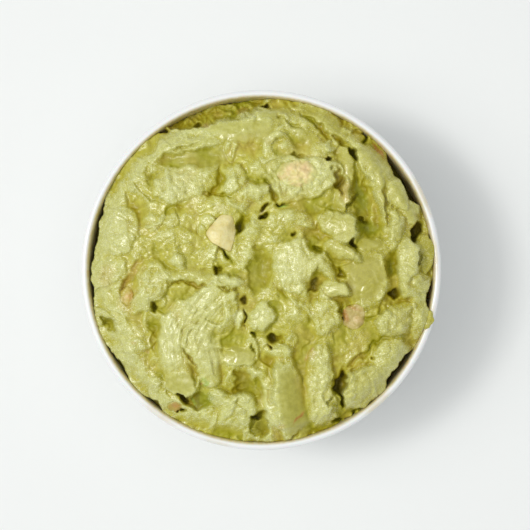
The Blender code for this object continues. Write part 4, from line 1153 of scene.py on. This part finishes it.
# firm pieces: how uneven the outline is, colours, and stains as in "patches"
fleshLook = {
    "pale_lump": {
        "slot": "pale_avocado", "uneven": 0.03, "flesh": (0.79, 0.71, 0.34), "shade": (0.73, 0.63, 0.25),
        "stains": [
            (-17.3, 14.3, 1.4, 0.9, 0, "brown", 0.5),
            (-12.4, 6.4, 1.6, 1.0, 0, "brown", 0.25),
        ],
    },
    "pink_lump": {
        "slot": "pink_avocado", "uneven": 0.12, "flesh": (0.80, 0.65, 0.31), "shade": (0.76, 0.69, 0.27),
        "stains": [
            (12.8, 33.8, 5.0, 2.4, 10, "pink", 0.4),
            (8.4, 31.6, 2.4, 1.2, 60, "pink", 0.25),
            (3.4, 31.2, 1.6, 0.7, 60, "rust", 0.35),
        ],
    },
    "brown_chunk": {
        "slot": "brown_avocado", "uneven": 0.12, "flesh": (0.57, 0.46, 0.17), "shade": (0.50, 0.40, 0.11),
        "stains": [
            (27.2, -14.0, 3.2, 0.9, -72, "rust", 0.7),
            (30.5, -12.2, 3.4, 0.7, -8, "rust", 0.45),
            (32, -16, 2.4, 1.6, -50, "pink", 0.35),
        ],
    },
    "left_chunk": {
        "slot": "brown_avocado", "uneven": 0.15, "flesh": (0.60, 0.45, 0.13), "shade": (0.55, 0.45, 0.10),
        "stains": [
            (-42.9, -8.2, 2.4, 0.7, 80, "rust", 0.5),
            (-44.4, -8.2, 1.6, 1.2, 80, "pink", 0.35),
        ],
    },
    "rim_chunk": {
        "slot": "brown_avocado", "uneven": 0.15, "flesh": (0.52, 0.33, 0.10), "shade": (0.44, 0.33, 0.06),
        "stains": [
            (-28.4, -45.4, 1.6, 0.8, 0, "rust", 0.4),
        ],
    },
}


# what the firm pieces have in common
fleshForm = {
    "dark": (0.92, 0.90, 0.82),
    "light": (1.06, 1.06, 1.08),
    "fleck": (0.86, 0.84, 0.56),
    "flecks": (0.55, 0.75, 0.3),         # the noise from and to, share
    "fibres": 0.8,                       # grain in mm
    "wet": (0.3, 0.7, 0.24, 0.42),       # the noise from and to, roughness from and to
    "bump": (0.2, 0.8),
    "softFaces": 0.25,                   # mm, how softly the flat faces meet
    "grained": [(2.4, 0.5, 61), (1.2, 0.25, 62)],
    "torn": [(3.2, 0.5, 63), (1.1, 0.25, 64)],
    "mottles": (2.6, -0.4, 0.4),         # wavelength, from and to
    "sharpEdge": 6,                      # an edge that falls later than this is sharp
    "softStart": 0.3,
    "sharpStart": 0.9,
    "edgeDrop": (0.25, 1.6),             # mm, evenly and at the very edge
}


def flesh(name):
    look = fleshForm
    material, tree, shader = newMaterial(
        name + " flesh", IOR=1.5, Specular_IOR_Level=0.5, Subsurface_Weight=0.15,
        Subsurface_Scale=0.001, Subsurface_Radius=(1.6, 1.3, 0.6),
    )
    places = objectPlaces(tree)
    fibres = noiseOf(tree, places, look["fibres"], 3.0, 0.6)
    mixed = cloudedTint(tree, places, look["dark"], look["light"])
    low, high, share = look["flecks"]
    flecked = blendColours(tree, spread(tree, fibres, low, high, 0.0, share), mixed, look["fleck"])
    tree.links.new(flecked, shader.inputs["Base Color"])
    tree.links.new(spread(tree, fibres, *look["wet"]), shader.inputs["Roughness"])
    bumpOf(tree, shader, fibres, *look["bump"])
    return material


def makeLump(name, lump):
    look, form = fleshLook[name], fleshForm
    bpy.ops.object.select_all(action="DESELECT")
    bpy.ops.mesh.primitive_uv_sphere_add(segments=128, ring_count=64, radius=1.0)
    piece = bpy.context.object
    at = readPlaces(piece)
    angle = np.arctan2(at[:, 1], at[:, 0])
    fraction = np.minimum(np.hypot(at[:, 0], at[:, 1]), 1.0)
    uneven = 1.0 + look["uneven"] * gradientNoise(6 * np.cos(angle), 6 * np.sin(angle), 3.1, 69)
    reach = outlineAt(lump, angle) * fraction * uneven
    x = lump["middle"][0] + reach * np.cos(angle)
    y = lump["middle"][1] + reach * np.sin(angle)
    faces = [-slope * reach * np.cos(angle - math.radians(turn)) for turn, slope in lump["faces"]]
    soft = form["softFaces"]
    flat = -soft * np.log(sum(np.exp(-face / soft) for face in faces))
    heap, calm, paintedShadow = heapForm(x, y)
    smooth = softForm(2, x, y)
    own = smooth + lump["proud"] + flat + lump["rough"] * layered(x, y, form["grained"])
    if lump["edge"] < form["sharpEdge"]:
        bare = 1.0 - ease(fraction ** 2, form["softStart"], 1.0)
    else:
        bare = 1.0 - ease(fraction, form["sharpStart"], 1.0)
    evenly, late = form["edgeDrop"]
    top = heap + (own - heap) * bare - evenly * fraction ** 4 - late * fraction ** (4 * lump["edge"])
    low = smooth - (evenly + late) - lump["down"] * np.sqrt(1.0 - fraction ** 2)
    z = rimHeight + np.where(at[:, 2] >= -0.001, top, low)
    writePlaces(piece, np.column_stack([x, y, z]) * mm)
    # the mash colour round a piece, with its painted light and shade and half the painted shadow
    around = heapColours(x, y, reliefAt(x, y), calm, 0.5 * paintedShadow)
    inner, outer = lump["bare"]
    patchy = fraction + (outer - inner) * layered(x, y, form["torn"])
    shown = (1.0 - ease(patchy, inner, outer))[:, None]
    size, first, last = form["mottles"]
    mottled = ease(gradientNoise(x, y, size, 65), first, last)[:, None]
    own = np.array(look["shade"]) * (1 - mottled) + np.array(look["flesh"]) * mottled
    writeColours(piece, "tint", painted(around + (own - around) * shown, look["stains"], x, y))
    finishPiece(piece, name.split("_")[0] + name.split("_")[1].capitalize(), flesh(name))
    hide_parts(name)
    return piece


# dabs of mash that lie on the lip's inner edge: middle, half length and width, turn, top over the rim
blobLook = {
    "rimBlobUpper": (54.3, 5.2, 6.4, 3.3, 86, 1.5),
    "rimBlobLower": (54.9, -16.4, 3.4, 2.6, 76, 1.2),
}
blobForm = {
    "wave": 0.16,                        # how uneven the outline is
    "lumps": [(3.0, 0.55, 67), (1.4, 0.25, 68)],
    "down": 4.0,                         # mm, how deep it goes
    "settle": 0.2,
    # share of grain, and of painted glints
    "grain": 0.6,
}


def makeBlob(name, row, material):
    cx, cy, length, width, turn, top = row
    form = blobForm
    bpy.ops.object.select_all(action="DESELECT")
    bpy.ops.mesh.primitive_uv_sphere_add(segments=96, ring_count=48, radius=1.0)
    piece = bpy.context.object
    at = readPlaces(piece)
    wave = 1.0 + form["wave"] * gradientNoise(3 * at[:, 0] + cx, 3 * at[:, 1] + cy, 1.4, 66)
    along, across = at[:, 0] * length * wave, at[:, 1] * width * wave
    c, s = math.cos(math.radians(turn)), math.sin(math.radians(turn))
    x, y = cx + along * c - across * s, cy + along * s + across * c
    lumps = layered(x, y, form["lumps"])
    tall = np.where(at[:, 2] > 0, top + lumps, form["down"])
    z = rimHeight + np.maximum(at[:, 2], -1.0) * tall - form["settle"]
    writePlaces(piece, np.column_stack([x, y, z]) * mm)
    none = np.zeros_like(x)
    # a dab stands over the lip at its top and sinks at its foot, so it gets painted sheen at its top and
    # painted shade at its foot
    stand = [none + 0.1, 0.6 * lumps, 0.9 * at[:, 2] - 0.5]
    writeColours(piece, "tint", heapColours(x, y, stand, none, none))
    writeValues(piece, "grain", none + form["grain"])
    writeValues(piece, "lit", none + 1.0)
    finishPiece(piece, name, material)
    return piece


floorLook = {"size": 4.0, "cloud": 40.0, "dark": (0.845, 0.86, 0.85), "light": (0.855, 0.87, 0.86)}


def makeFloor():
    look = floorLook
    bpy.ops.object.select_all(action="DESELECT")
    bpy.ops.mesh.primitive_plane_add(size=look["size"])
    floor = bpy.context.object
    floor.name = "floor"
    material, tree, shader = newMaterial("pale table", Roughness=0.6, IOR=1.4, Specular_IOR_Level=0.2)
    places = objectPlaces(tree)
    mixed = blendColours(tree, noiseOf(tree, places, look["cloud"], 3.0), look["dark"], look["light"])
    tree.links.new(mixed, shader.inputs["Base Color"])
    floor.data.materials.append(material)


makeCamera()
for lightName in ("soft box", "lamp", "ceiling"):
    makeLight(lightName)
makeSky()
makeFloor()
makeBowl()
prepareRelief()
mashMaterial = mash()
makeHeap(mashMaterial)
for lumpName, lumpShape in lumpLook.items():
    makeLump(lumpName, lumpShape)
print("firm pieces made")
for blobName, blobShape in blobLook.items():
    makeBlob(blobName, blobShape, mashMaterial)
